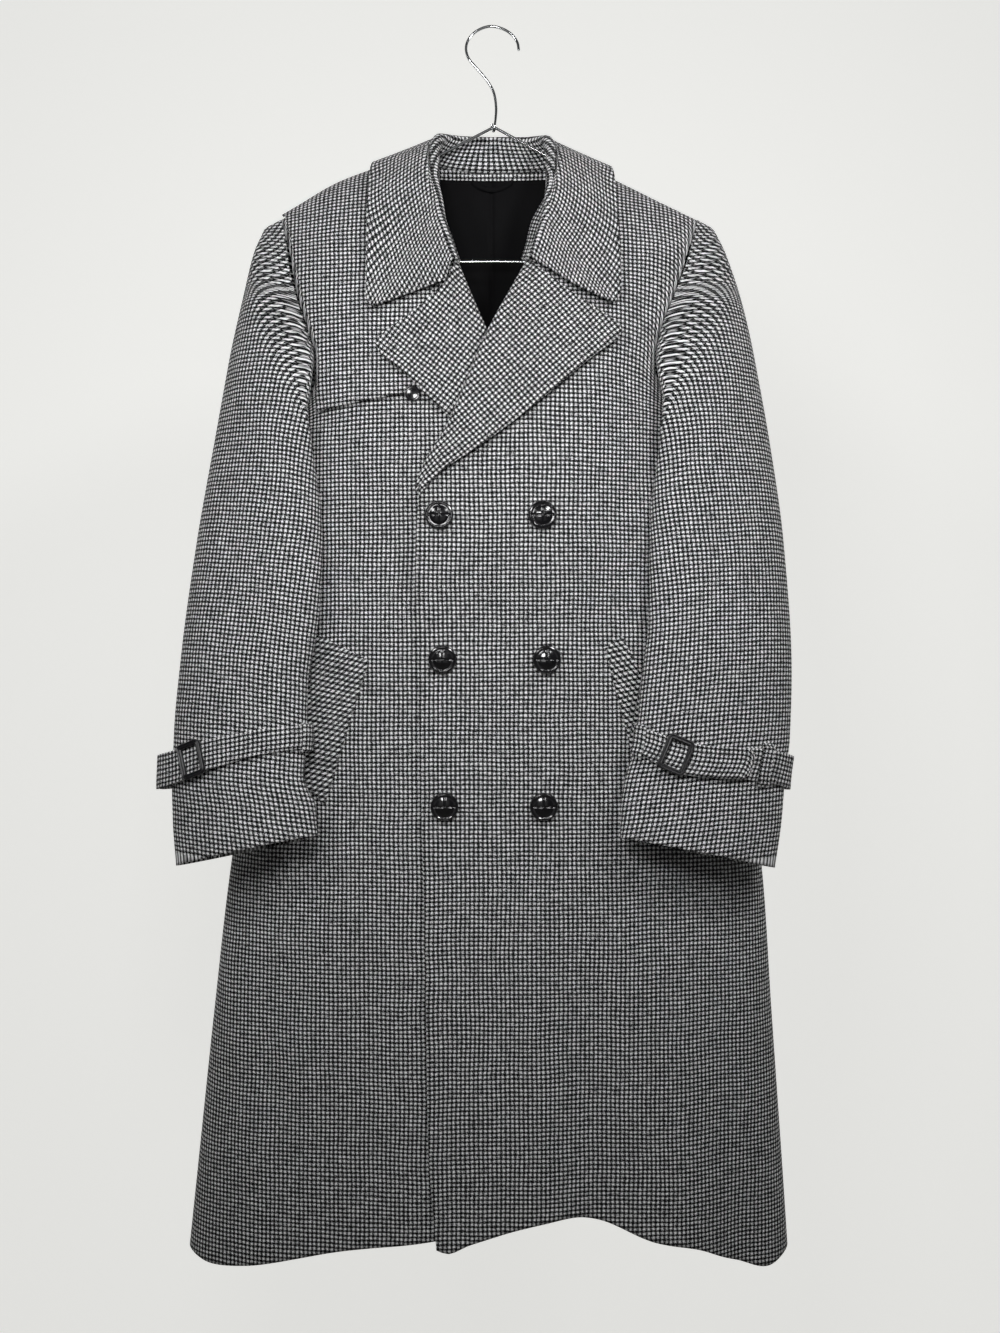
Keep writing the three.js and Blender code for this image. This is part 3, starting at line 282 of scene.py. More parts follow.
def sideLine(wearer, armhole):
    line = curvesOf(armhole, "v")

    def at(v):
        low = v < underarm["v"]
        z = np.where(low, lerp(hemAtSide, underarm["z"], v / underarm["v"]), line["z"](v))
        tucked = underSleeve * smoothstep(v, 0.76, 0.82) * (1 - smoothstep(v, 0.9, 0.96))
        return np.where(low, body[wearer](z), line[wearer](v) + signOf[wearer] * tucked), z

    return at


def edgeLine(wearer):
    line = edgeCurves[wearer]
    return lambda v: (line["x"](v), line["z"](v))


# The left front laps over the right one, and over its lapel above the buttons.
rollLift = gap + thin
rightLapelRise = 3.9
lapLift = wall + 3 * gap
lapelLapLift = lapLift + 2 * rollLift + rightLapelRise + gap


# How far free edges stand off the cloth below them
standOff = {"front": 2.6, "collar": 2.8, "lapel": 2.6, "flap": 2.2}


def lapOf(x, z):
    inLap = 1 - smoothstep(x, 85, 190)
    belowV = 1 - smoothstep(z, -345, -215)
    overLapel = smoothstep(z, -628, -530)
    line = frontEdges["left"]
    fromEdge = x - np.interp(z, line["z"], line["x"])
    free = (1 - smoothstep(fromEdge, 0, 26)) * (1 - smoothstep(z, -545, -495))
    return inLap * belowV * lerp(lapLift, lapelLapLift, overLapel) + standOff["front"] * free


def onFront(wearer, x, z, lift=0.0):
    if wearer == "right":
        return onBody(x, z, -1, lift)
    points, plain = onBody(x, z, -1, lapOf(x, z))
    right = onBody(x + 1, z, -1, lapOf(x + 1, z))[0] - onBody(x - 1, z, -1, lapOf(x - 1, z))[0]
    up = onBody(x, z + 1, -1, lapOf(x, z + 1))[0] - onBody(x, z - 1, -1, lapOf(x, z - 1))[0]
    lapped = unit(np.cross(right, up))
    out = np.where((lapOf(x, z) > 0)[..., None], lapped, plain)
    return points + out * np.broadcast_to(lift, np.shape(x))[..., None], out


# Materials

def colourOf(hexValue):
    parts = [int(hexValue[k : k + 2], 16) / 255 for k in (1, 3, 5)]
    linear = [p / 12.92 if p <= 0.04045 else ((p + 0.055) / 1.055) ** 2.4 for p in parts]
    return (*linear, 1.0)


def addNode(tree, kind, settings=None, links=None):
    made = tree.nodes.new(kind)
    for key, value in (settings or {}).items():
        if isinstance(key, str) and hasattr(made, key):
            setattr(made, key, value)
        else:
            made.inputs[key].default_value = value
    for key, source in (links or {}).items():
        tree.links.new(source, made.inputs[key])
    return made


def newFinish(name, settings):
    finish = bpy.data.materials.new(name)
    finish.use_nodes = True
    shader = finish.node_tree.nodes["Principled BSDF"]
    for key, value in settings.items():
        shader.inputs[key].default_value = value
    return finish, finish.node_tree, shader


def noiseNode(tree, place, millimetres, detail, more=None):
    settings = {"Scale": 1000 / millimetres, "Detail": detail, **(more or {})}
    return addNode(tree, "ShaderNodeTexNoise", settings, {"Vector": place})


def tint(tree, shader, share, first, second):
    mix = addNode(
        tree,
        "ShaderNodeMix",
        {"data_type": "RGBA", 6: colourOf(first), 7: colourOf(second)},
        {0: share},
    )
    tree.links.new(mix.outputs[2], shader.inputs["Base Color"])


def emboss(tree, shader, height, strength, millimetres):
    settings = {"Strength": strength, "Distance": millimetres / 1000}
    relief = addNode(tree, "ShaderNodeBump", settings, {"Height": height})
    tree.links.new(relief.outputs[0], shader.inputs["Normal"])


# Brushed wool coating, woven 4 dark and 4 light threads in a 2/2 twill, which gives a broken check
coating = {
    "repeat": 4.4,  # mm across one check, as it measures in the photograph
    "threads": 8,  # in one repeat, half of them light
    "dark": "#060608",
    "light": "#fbfbfc",
    "paintedThreadShade": 0.3,  # painted shade: brightness of a light thread between dark ones, darkened as if the dark threads beside it shaded it
    "wander": 0.8,  # mm that the threads stray
    "wanderOver": 3.0,  # mm from one stray to the next
    "drift": 2.0,  # mm that the grain drifts
    "driftOver": 70.0,  # mm from one drift to the next
    "slubChange": 0.9,  # how fast the threads' thickness changes from one thread to the next
    "slubStretch": 0.04,  # the same along a thread, as a share of that
    "slubs": 0.7,  # strength of the slubs
    "mottle": 2.2,  # mm across the patches of fuzzier yarn
    "fuzz": 0.9,  # mm across the tufts of fuzz
    "grain": 0.5,  # strength of mottle and fuzz
    "yarn": 0.95,  # lightness of an even light thread
    "onLight": 1.7,  # how much slubs and grain show on the light threads
    "onDark": 0.2,  # how much they show on the dark ones
    "depth": 0.03,  # how much darker the ground is than its yarn
    "relief": {"strength": 0.55, "millimetres": 0.6, "twill": 0.3},
}


def makeCoating():
    finish, tree, shader = newFinish(
        "brushedWoolTwill",
        {"Roughness": 0.95, "Sheen Weight": 0.05, "Sheen Roughness": 0.6, "Specular IOR Level": 0.15},
    )
    place = addNode(tree, "ShaderNodeUVMap", {"uv_map": "cloth"}).outputs[0]

    def vectors(settings, links):
        return addNode(tree, "ShaderNodeVectorMath", settings, links).outputs[0]

    def maths(operation, first, second):
        made = addNode(tree, "ShaderNodeMath", {"operation": operation})
        for k, value in enumerate((first, second)):
            if isinstance(value, (int, float)):
                made.inputs[k].default_value = value
            else:
                tree.links.new(value, made.inputs[k])
        return made.outputs[0]

    moved = place
    for reach, over in (("wander", "wanderOver"), ("drift", "driftOver")):
        stray = noiseNode(tree, place, coating[over], 1.0).outputs["Color"]
        scaled = vectors({"operation": "SCALE", "Scale": 2 * coating[reach] / 1000}, {0: stray})
        moved = vectors({"operation": "ADD"}, {0: moved, 1: scaled})
    threads = coating["threads"]
    counted = vectors({"operation": "SCALE", "Scale": 1000 * threads / coating["repeat"]}, {0: moved})
    index = addNode(
        tree, "ShaderNodeSeparateXYZ", {}, {0: vectors({"operation": "FLOOR"}, {0: counted})}
    )
    warp, weft = index.outputs["X"], index.outputs["Y"]

    warpLight = maths("GREATER_THAN", maths("FLOORED_MODULO", warp, threads), threads / 2 - 0.5)
    weftLight = maths("GREATER_THAN", maths("FLOORED_MODULO", weft, threads), threads / 2 - 0.5)
    overWarp = maths("GREATER_THAN", maths("FLOORED_MODULO", maths("ADD", warp, weft), 4), 1.5)
    fromWarp = maths("MULTIPLY", warpLight, overWarp)
    fromWeft = maths("MULTIPLY", weftLight, maths("SUBTRACT", 1.0, overWarp))
    bothLight = maths("MULTIPLY", warpLight, weftLight)
    # Painted shade: light floats in the squares where only one set of threads is light are dimmed, standing
    # in for the shade that the dark threads beside them cast
    paintedThreadShade = maths("ADD", maths("MULTIPLY", bothLight, 1 - coating["paintedThreadShade"]), coating["paintedThreadShade"])
    lit = maths("MULTIPLY", maths("ADD", fromWarp, fromWeft), paintedThreadShade)

    # Thicker and thinner stretches of single threads, and patches where the fuzz hides the check
    slubs = []
    for across, along in (("X", "Y"), ("Y", "X")):
        links = {
            across: index.outputs[across],
            along: maths("MULTIPLY", index.outputs[along], coating["slubStretch"]),
        }
        threadPlace = addNode(tree, "ShaderNodeCombineXYZ", {}, links).outputs[0]
        settings = {"Scale": coating["slubChange"], "Detail": 0.0}
        slub = addNode(tree, "ShaderNodeTexNoise", settings, {"Vector": threadPlace})
        slubs.append(slub.outputs[0])
    mottle = noiseNode(tree, place, coating["mottle"], 2.0).outputs[0]
    fuzz = noiseNode(tree, place, coating["fuzz"], 1.0).outputs[0]
    slubbed = maths("SUBTRACT", maths("ADD", *slubs), 1.0)
    grained = maths("SUBTRACT", maths("ADD", mottle, fuzz), 1.0)
    uneven = maths(
        "ADD", maths("MULTIPLY", slubbed, coating["slubs"]), maths("MULTIPLY", grained, coating["grain"])
    )
    yarn = maths("ADD", maths("MULTIPLY", uneven, coating["onLight"]), coating["yarn"])
    ground = maths("SUBTRACT", maths("MULTIPLY", uneven, coating["onDark"]), coating["depth"])
    tone = addNode(
        tree,
        "ShaderNodeMath",
        {"operation": "ADD", "use_clamp": True},
        {0: maths("MULTIPLY", lit, yarn), 1: ground},
    )
    tint(tree, shader, tone.outputs[0], coating["dark"], coating["light"])
    relief = coating["relief"]
    raised = maths("ADD", maths("MULTIPLY", overWarp, relief["twill"]), mottle)
    emboss(tree, shader, raised, relief["strength"], relief["millimetres"])
    return finish


def makeLining():
    # Satin lining: smooth floats give a soft sheen along its folds
    finish, tree, shader = newFinish(
        "satinLining",
        {"Base Color": colourOf("#0b0b0d"), "Roughness": 0.65, "Specular IOR Level": 0.08},
    )
    place = addNode(tree, "ShaderNodeUVMap", {"uv_map": "cloth"}).outputs[0]
    satinFloat = {"wide": 0.6, "long": 9.0}  # mm
    stretched = addNode(
        tree,
        "ShaderNodeMapping",
        {"Scale": (1000 / satinFloat["wide"], 1000 / satinFloat["long"], 1)},
        {"Vector": place},
    ).outputs[0]
    floats = addNode(tree, "ShaderNodeTexNoise", {"Scale": 1.0, "Detail": 2.0}, {"Vector": stretched})
    tint(tree, shader, floats.outputs[0], "#030304", "#0c0c0e")
    emboss(tree, shader, floats.outputs[0], 0.2, 0.3)
    return finish


def makeHorn():
    # Polished black horn: near black, with faint brown streaks under a wet gloss
    finish, tree, shader = newFinish(
        "polishedHorn", {"Roughness": 0.14, "IOR": 1.54, "Coat Weight": 0.4, "Coat Roughness": 0.06}
    )
    place = addNode(tree, "ShaderNodeTexCoord").outputs["Object"]
    streaks = noiseNode(tree, place, 9.0, 3.0, {"Distortion": 0.6}).outputs[0]
    tint(tree, shader, streaks, "#060607", "#18171a")
    emboss(tree, shader, noiseNode(tree, place, 1.2, 2.0).outputs[0], 0.08, 0.3)
    return finish


def makeLeather():
    # Leather-covered buckle: near black with a fine pore grain, lightly polished over its groove and two
    # ridges
    finish, tree, shader = newFinish("coveredBuckle", {"Roughness": 0.34, "IOR": 1.5})
    place = addNode(tree, "ShaderNodeTexCoord").outputs["Object"]
    pores = addNode(tree, "ShaderNodeTexVoronoi", {"Scale": 1000 / 0.9}, {"Vector": place})
    tint(tree, shader, pores.outputs["Distance"], "#1d1d21", "#0c0c0e")
    emboss(tree, shader, pores.outputs["Distance"], 0.2, 0.2)
    return finish


def makeChrome():
    # Chromed steel wire: mirror bright, with a faint haze from handling
    finish, tree, shader = newFinish("chromedWire", {"Metallic": 1.0, "Base Color": colourOf("#dcdee0")})
    place = addNode(tree, "ShaderNodeTexCoord").outputs["Object"]
    haze = noiseNode(tree, place, 14.0, 3.0).outputs[0]
    rough = addNode(tree, "ShaderNodeMapRange", {"To Min": 0.08, "To Max": 0.24}, {"Value": haze})
    tree.links.new(rough.outputs[0], shader.inputs["Roughness"])
    return finish


def makeThread():
    # Twisted sewing thread, dark grey, a little lighter than the yarn's dark threads
    finish, tree, shader = newFinish("sewingThread", {"Roughness": 0.7})
    place = addNode(tree, "ShaderNodeTexCoord").outputs["Object"]
    tint(tree, shader, noiseNode(tree, place, 1.5, 1.0).outputs[0], "#151517", "#3a3a3e")
    return finish


wool = makeCoating()
satin = makeLining()
horn = makeHorn()
coveredBuckle = makeLeather()
chrome = makeChrome()
sewingThread = makeThread()
print("finishes made")


# Pieces from grids

def toMetres(points):
    return (np.asarray(points, float) - (0, 0, crownHeight)) / 1000


def finishPiece(mesh, name, nodes, finish):
    piece = bpy.data.objects.new(name + "_dressed", mesh)
    bpy.context.scene.collection.objects.link(piece)
    mesh.materials.append(finish)
    mesh.shade_smooth()
    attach(piece, "root")
    if nodes:
        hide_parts(*nodes)
    return piece


def gridMesh(name, points, cloth=None, closed=(False, False)):
    rows, columns = points.shape[:2]
    shell = bmesh.new()
    bmesh.ops.create_grid(shell, x_segments=columns - 1, y_segments=rows - 1, size=1)
    mesh = bpy.data.meshes.new(name)
    shell.to_mesh(mesh)
    shell.free()
    flat = np.empty(3 * len(mesh.vertices))
    mesh.vertices.foreach_get("co", flat)
    flat = flat.reshape(-1, 3)
    column = np.rint((flat[:, 0] + 1) / 2 * (columns - 1)).astype(int)
    row = np.rint((flat[:, 1] + 1) / 2 * (rows - 1)).astype(int)
    mesh.vertices.foreach_set("co", toMetres(points)[row, column].ravel())
    if cloth is not None:
        corners = np.empty(len(mesh.loops), int)
        mesh.loops.foreach_get("vertex_index", corners)
        places = np.asarray(cloth)[row, column] / 1000
        layer = mesh.uv_layers.new(name="cloth")
        layer.data.foreach_set("uv", places[corners].ravel())
    mesh.update()
    if any(closed):
        joined = bmesh.new()
        joined.from_mesh(mesh)
        bmesh.ops.remove_doubles(joined, verts=joined.verts, dist=0.00001)
        bmesh.ops.recalc_face_normals(joined, faces=joined.faces)
        joined.to_mesh(mesh)
        joined.free()
    return mesh


def clothPiece(name, points, outs, cloth, thickness, finish=None, nodes=None):
    mesh = gridMesh(name, points, cloth)
    rows, columns = points.shape[:2]
    down = points[1:, :-1] - points[:-1, :-1]
    over = points[:-1, 1:] - points[:-1, :-1]
    corner = np.cross(over, down)
    if np.sum(corner * outs[:-1, :-1]) < 0:
        mesh.flip_normals()
    piece = finishPiece(
        mesh, name, nodes or [name], finish or wool
    )
    solid = piece.modifiers.new("wall", "SOLIDIFY")
    solid.thickness = thickness / 1000
    solid.offset = -1
    return piece


def bodyCloth(points, sign):
    across = np.hypot(np.diff(points[..., 0], axis=1), np.diff(points[..., 1], axis=1))
    up = np.diff(points[..., 2], axis=0)
    rise = np.hypot(up, np.diff(points[..., 1], axis=0)) * np.sign(up)
    fromEdge = np.cumsum(across[:, ::-1], axis=1)[:, ::-1]
    fromEdge = np.concatenate([fromEdge, np.zeros((len(points), 1))], axis=1)
    fromHem = np.concatenate([np.zeros((1, points.shape[1])), np.cumsum(rise, axis=0)])
    u = points[:, -1:, 0] + sign * fromEdge
    v = points[:1, :, 2] + fromHem
    return np.stack([u, v], axis=-1)


def alongGrid(points):
    across = np.linalg.norm(np.diff(points, axis=1), axis=-1)
    along = np.linalg.norm(np.diff(points, axis=0), axis=-1)
    u = np.concatenate([np.zeros((len(points), 1)), np.cumsum(across, axis=1)], axis=1)
    v = np.concatenate([np.zeros((1, points.shape[1])), np.cumsum(along, axis=0)])
    return np.stack([u, v], axis=-1)


def turned(cloth, degrees):
    turn = math.radians(degrees)
    u, v = cloth[..., 0], cloth[..., 1]
    return np.stack(
        [u * math.cos(turn) - v * math.sin(turn), u * math.sin(turn) + v * math.cos(turn)], axis=-1
    )


# Fronts and backs

frontPanel = {"across": 90, "along": 250, "crowd": 1.5}
backPanel = {"across": 90, "along": 230, "crowd": 1.5, "neckShare": 0.62}


def makeFront(wearer):
    side, edge = sideLine(wearer, frontArmhole), edgeLine(wearer)
    low, high = np.zeros(1), np.ones(1)
    fromX, toX = side(low)[0], edge(low)[0]
    topFrom, topTo = side(high)[0], edge(high)[0]
    x, z = between(
        side,
        edge,
        lambda u: (lerp(fromX, toX, u), hems[wearer](lerp(fromX, toX, u))),
        lambda u: (lerp(topFrom, topTo, u), shoulder(lerp(topFrom, topTo, u))),
        np.linspace(0, 1, frontPanel["across"] + 1) ** frontPanel["crowd"],
        np.linspace(0, 1, frontPanel["along"] + 1),
    )
    points, outs = onFront(wearer, x, z)
    points[..., 1] -= gap / 2
    cloth = bodyCloth(points, signOf[wearer])
    clothPiece(f"front_{wearer}", points, outs, cloth, wall)


def makeBack(wearer):
    side = sideLine(wearer, backArmhole)
    centre = middle + signOf[wearer] * gap / 2
    low, high = np.zeros(1), np.ones(1)
    fromX, topFrom = side(low)[0], side(high)[0]
    neck = {"right": -75, "left": 86}[wearer]
    share = backPanel["neckShare"]

    def topX(u):
        return np.where(
            u < share, lerp(topFrom, neck, u / share), lerp(neck, centre, (u - share) / (1 - share))
        )

    x, z = between(
        side,
        lambda v: (centre + 0 * v, lerp(hems["back"](middle), backNeck(middle), v)),
        lambda u: (lerp(fromX, centre, u), hems["back"](lerp(fromX, centre, u))),
        lambda u: (topX(u), np.where(u < share, shoulder(topX(u)), backNeck(topX(u)))),
        np.linspace(0, 1, backPanel["across"] + 1) ** backPanel["crowd"],
        np.linspace(0, 1, backPanel["along"] + 1),
    )
    points, outs = onBody(x, z, 1)
    points[..., 1] += gap / 2
    cloth = bodyCloth(points, signOf[wearer])
    clothPiece(f"back_{wearer}", points, outs, cloth, wall)


for wearer in signOf:
    makeFront(wearer)
    makeBack(wearer)
print("fronts and backs made")


# Lapels, turned out over the front along the roll line

lapelOutline = {
    "right": {
        "v": [0.66, 0.7, 0.74, 0.78, 0.82, 0.86, 0.9],
        "x": [71, 15, -36, -77, -110, -78, -44],
        "z": [-491, -462, -418, -378, -343, -313, -284.5],
    },
    "left": {
        "v": [0.66, 0.68, 0.72, 0.76, 0.8, 0.82, 0.86, 0.9],
        "x": [-67, -49, 0, 48, 98, 125, 92, 53],
        "z": [-494, -474, -440, -403, -359, -333, -305, -274.5],
    },
}
lapels = {
    "right": {"rise": 3.9, "from": 0.02, "to": 0.3, "grain": 38, "free": (0.75, 0.8)},
    "left": {"rise": 3.5, "from": 0.02, "to": 0.35, "grain": -41, "free": (0.665, 0.7)},
}
flapButton = {"x": -75, "z": -392, "width": 15, "height": 2}
lapelSteps = {"along": 130, "leaf": 42, "arc": 9}


def makeLapel(wearer):
    shape = lapels[wearer]
    sign = signOf[wearer]
    radius = wall / 2 + gap + thin
    v = np.linspace(0.66, 0.9, lapelSteps["along"] + 1)
    line = edgeCurves[wearer]
    outline = curvesOf(lapelOutline[wearer], "v")
    x, z = line["x"](v), line["z"](v)
    points, out = onFront(wearer, x, z)
    along = stacked(line["x"](v + 0.01) - line["x"](v - 0.01), 0, line["z"](v + 0.01) - line["z"](v - 0.01))
    off = unit(np.cross(out, along))
    off = np.where(off[..., :1] * sign > 0, -off, off)
    core = points - out * wall / 2
    leg = lerp(4, 12, smoothstep(v, 0.66, 0.72))[:, None]
    columns, normals = [], []
    for share in (1.0, 0.5):
        columns.append(core - out * radius - off * leg * share)
        normals.append(-out)
    for angle in np.linspace(-90, 90, lapelSteps["arc"]):
        turn = math.radians(angle)
        columns.append(core + out * radius * math.sin(turn) + off * radius * math.cos(turn))
        normals.append(out * math.sin(turn) + off * math.cos(turn))
    for s in np.linspace(0, 1, lapelSteps["leaf"] + 1)[1:]:
        x2, z2 = lerp(x, outline["x"](v), s), lerp(z, outline["z"](v), s)
        lift = rollLift + shape["rise"] * smoothstep(s, shape["from"], shape["to"])
        free = smoothstep(v, *shape["free"]) * (1 - smoothstep(v, 0.81, 0.87))
        lift = lift + standOff["lapel"] * free * smoothstep(s, 0.7, 1)
        if wearer == "right":
            near = np.hypot(x2 - flapButton["x"], z2 - flapButton["z"]) / 26
            lift = lift + 3 * np.exp(-near * near) * smoothstep(s, 0.3, 1)
        p, n = onFront(wearer, x2, z2, lift + 0 * x2)
        columns.append(p)
        normals.append(n)
    grid, outs = np.stack(columns, axis=1), np.stack(normals, axis=1)
    across = np.linalg.norm(np.diff(grid, axis=1), axis=-1)
    far = np.concatenate([np.zeros((len(v), 1)), np.cumsum(across, axis=1)], axis=1)
    far = far - far[:, 1 + lapelSteps["arc"]][:, None]
    way = np.stack([outline["x"](v) - x, outline["z"](v) - z], axis=-1)
    way = way / np.maximum(np.linalg.norm(way, axis=-1, keepdims=True), 1)
    cloth = np.stack([x, z], axis=-1)[:, None, :] + way[:, None, :] * far[..., None]
    clothPiece(f"lapel_{wearer}", grid, outs, turned(cloth, shape["grain"]), thin)


for wearer in signOf:
    makeLapel(wearer)
print("lapels made")


# Storm flap and the slanted welts of the pockets

onPanel = rollLift + 2 * gap
flapForm = {
    "v": [0, 0.3, 0.6, 0.85, 1],
    "side": [-173, -170, -188, -204, -214],
    "z": [-405, -352, -288, -230, -194],
    "edge": [-60, -56, -58, -100, -122],
    "edgeZ": [-388, -330, -262, -192, -150],
}
flapRows = curvesOf(flapForm, "v")
v, u = np.meshgrid(np.linspace(0, 1, 90), np.linspace(0, 1, 60), indexing="ij")
x = lerp(flapRows["side"](v), flapRows["edge"](v), u)
z = lerp(lerp(flapRows["z"](v), flapRows["edgeZ"](v), u), shoulder(x) - 2, v**6)
free = (1 - smoothstep(v, 0, 0.12)) * smoothstep(u, 0.02, 0.15) * (1 - smoothstep(u, 0.78, 0.9))
points, outs = onBody(x, z, -1, onPanel + 0.5 * gap + standOff["flap"] * free)
clothPiece("storm_flap", points, outs, bodyCloth(points, -1), thin)

welts = {
    "right": {"top": (-172, -628), "inner": (-119, -654), "low": (-163, -796), "outer": (-208, -760)},
    "left": {"top": (130, -630), "inner": (113, -642), "low": (152, -790), "outer": (196, -762)},
}


def onWelt(wearer, u, v, lift):
    corner = welts[wearer]
    x, z = (
        lerp(
            lerp(corner["top"][k], corner["inner"][k], u), lerp(corner["outer"][k], corner["low"][k], u), v
        )
        for k in (0, 1)
    )
    return onFront(wearer, x, z, lift + 0 * x)


for wearer in signOf:
    v, u = np.meshgrid(np.linspace(0, 1, 60), np.linspace(0, 1, 24), indexing="ij")
    points, outs = onWelt(wearer, u, v, onPanel)
    cloth = turned(bodyCloth(points, -signOf[wearer]), signOf[wearer] * 14)
    clothPiece(f"pocket_welt_{wearer}", points, outs, cloth, thin)
print("flap and welts made")


# Collar: stand and fall in one, folded over along the roll

collarForm = {
    "v": [0, 0.06, 0.12, 0.15, 0.22, 0.28, 0.34, 0.42, 0.5, 0.58, 0.66, 0.72, 0.78, 0.85, 0.88, 0.94, 1],
    "x": [-33, -40, -46, -48, -54, -56, -52, -30, 2, 36, 59, 62, 60, 55, 52, 45, 38],
    "y": [-70, -66, -58, -54, -38, -20, 0, 23, 30, 23, 0, -20, -38, -54, -58, -66, -70],
    "z": [-260, -238, -214, -200, -166, -131, -107, -100, -98, -101, -109, -133, -168, -206, -219, -241]
    + [-257.5],
    "baseX": [-31, -38, -47, -53, -61, -68, -68, -44, 2, 50, 78, 76, 67, 49, 43, 38, 33],
    "baseY": [-55, -52, -46, -42, -28, -14, 3, 22, 27, 22, 3, -14, -28, -38, -40, -47, -53],
    "baseZ": [-257, -235, -209, -196, -164, -142, -129, -133, -135, -135, -131, -146, -168, -201, -214]
    + [-237, -254.5],
    "edgeX": [-43, -76, -114, -121, -121, -119, -115, -82, 2, 86, 119, 123, 126, 128, 120, 88, 51],
    "edgeY": [-70, -70, -66, -62, -45, -25, 2, 40, 44, 40, 2, -25, -45, -62, -66, -70, -70],
    "edgeZ": [-281, -293, -305, -290, -215, -170, -140, -172, -184, -174, -143, -174, -220, -290, -304]
    + [-292, -267],
}
collarTurn = {"v": [0, 0.12, 0.34, 0.5, 0.66, 0.88, 1], "angle": [270, 262, 180, 90, 0, -82, -90]}
collarSteps = {"along": 220, "arc": 9, "leaf": 26, "stand": 6}


def makeCollar():
    c = curvesOf(collarForm, "v")
    v = np.linspace(0, 1, collarSteps["along"] + 1)

    def crest(at):
        return stacked(c["x"](at), c["y"](at), c["z"](at))

    radius = gap + thin + 1

    def clearOf(p):
        middleShare = smoothstep(np.abs(v - 0.5), 0.18, 0.26)
        clear = lerp(onPanel + 3 * gap, onPanel + thin + 3 * gap, middleShare)
        onLeft = (p[..., 0] > 0) & (p[..., 1] < 0)
        return clear + np.where(onLeft, lapOf(p[..., 0], p[..., 2]), 0)

    along = unit(crest(np.minimum(v + 0.01, 1)) - crest(np.maximum(v - 0.01, 0)))
    angle = np.radians(through(collarTurn, "v", "angle")(v))
    up = unit(np.cross(along, stacked(np.cos(angle), np.sin(angle), 0 * angle)))
    over = np.cross(up, along)
    core = crest(v) - up * radius
    fold = []
    for turn in np.radians(np.linspace(-90, 90, collarSteps["arc"])):
        fold.append(core + up * radius * math.cos(turn) + over * radius * math.sin(turn))
    base = stacked(c["baseX"](v), c["baseY"](v), c["baseZ"](v))
    free = stacked(c["edgeX"](v), c["edgeY"](v), c["edgeZ"](v))
    edge = seated(free, clearOf(free) + standOff["collar"], True)
    stand = [lerp(base, fold[0], s) for s in np.linspace(0, 1, collarSteps["stand"] + 1)[:-1]]
    leaf = []
    for s in np.linspace(0, 1, collarSteps["leaf"] + 1)[1:]:
        p = lerp(fold[-1], edge, s)
        leaf.append(seated(p, clearOf(p)))
    grid = np.stack([*stand, *fold, *leaf], axis=1)
    across = np.gradient(grid, axis=1)
    down = np.gradient(grid, axis=0)
    outs = unit(-np.cross(down, across))
    cloth = alongGrid(grid)
    flipped = np.stack([cloth[..., 1], -cloth[..., 0]], axis=-1)
    flipped[..., 0] = flipped[:, len(stand) : len(stand) + 1, 0]
    clothPiece("collar", grid, outs, flipped, thin)


makeCollar()
print("collar made")


# Sleeves: tubes from the armhole to the cuff, between an outer and an inner line

sleeveForms = {
    "right": {
        "t": [0, 0.03, 0.06, 0.12, 0.22, 0.34, 0.5, 0.66, 0.8, 0.86, 0.93, 1],
        "outX": [-217, -235, -240, -249, -264, -279, -296, -308, -313, -313, -311, -306],
        "outY": [0, -1, -3, -8, -12, -18, -30, -44, -56, -62, -68, -74],
        "outZ": [-194, -206, -224, -272, -342, -425, -535, -645, -730, -768, -810, -855],
        "inX": [-189, -185, -181, -173, -168, -164, -167, -177, -178, -180, -167, -165],
        "inY": [-42, -50, -55, -60, -63, -70, -75, -80, -84, -89, -95, -100],
        "inZ": [-398, -410, -422, -448, -492, -545, -610, -680, -735, -765, -796, -822],
        "front": [20, 28, 32, 36, 38, 34, 32, 30, 28, 27, 27, 27],
        "back": [40, 36, 32, 26, 16, 15, 17, 18, 18, 19, 20, 21],
    },
    "left": {
        "t": [0, 0.03, 0.06, 0.12, 0.22, 0.34, 0.5, 0.66, 0.8, 0.86, 0.93, 1],
        "outX": [216, 233, 240, 254, 270, 284, 297, 302, 298, 292, 287, 279],
        "outY": [0, -1, -3, -8, -12, -18, -30, -44, -56, -62, -68, -74],
        "outZ": [-194, -206, -226, -274, -345, -425, -535, -645, -730, -768, -812, -857],
        "inX": [187, 182, 177, 167, 160, 157, 156, 147, 142, 131, 126, 126],
        "inY": [-42, -50, -55, -60, -63, -72, -78, -84, -88, -92, -98, -102],
        "inZ": [-398, -410, -422, -448, -492, -545, -610, -680, -735, -768, -798, -824],
        "front": [20, 28, 32, 36, 38, 34, 32, 30, 28, 27, 27, 27],
        "back": [40, 36, 32, 26, 16, 15, 17, 17, 16, 17, 19, 20],
    },
}
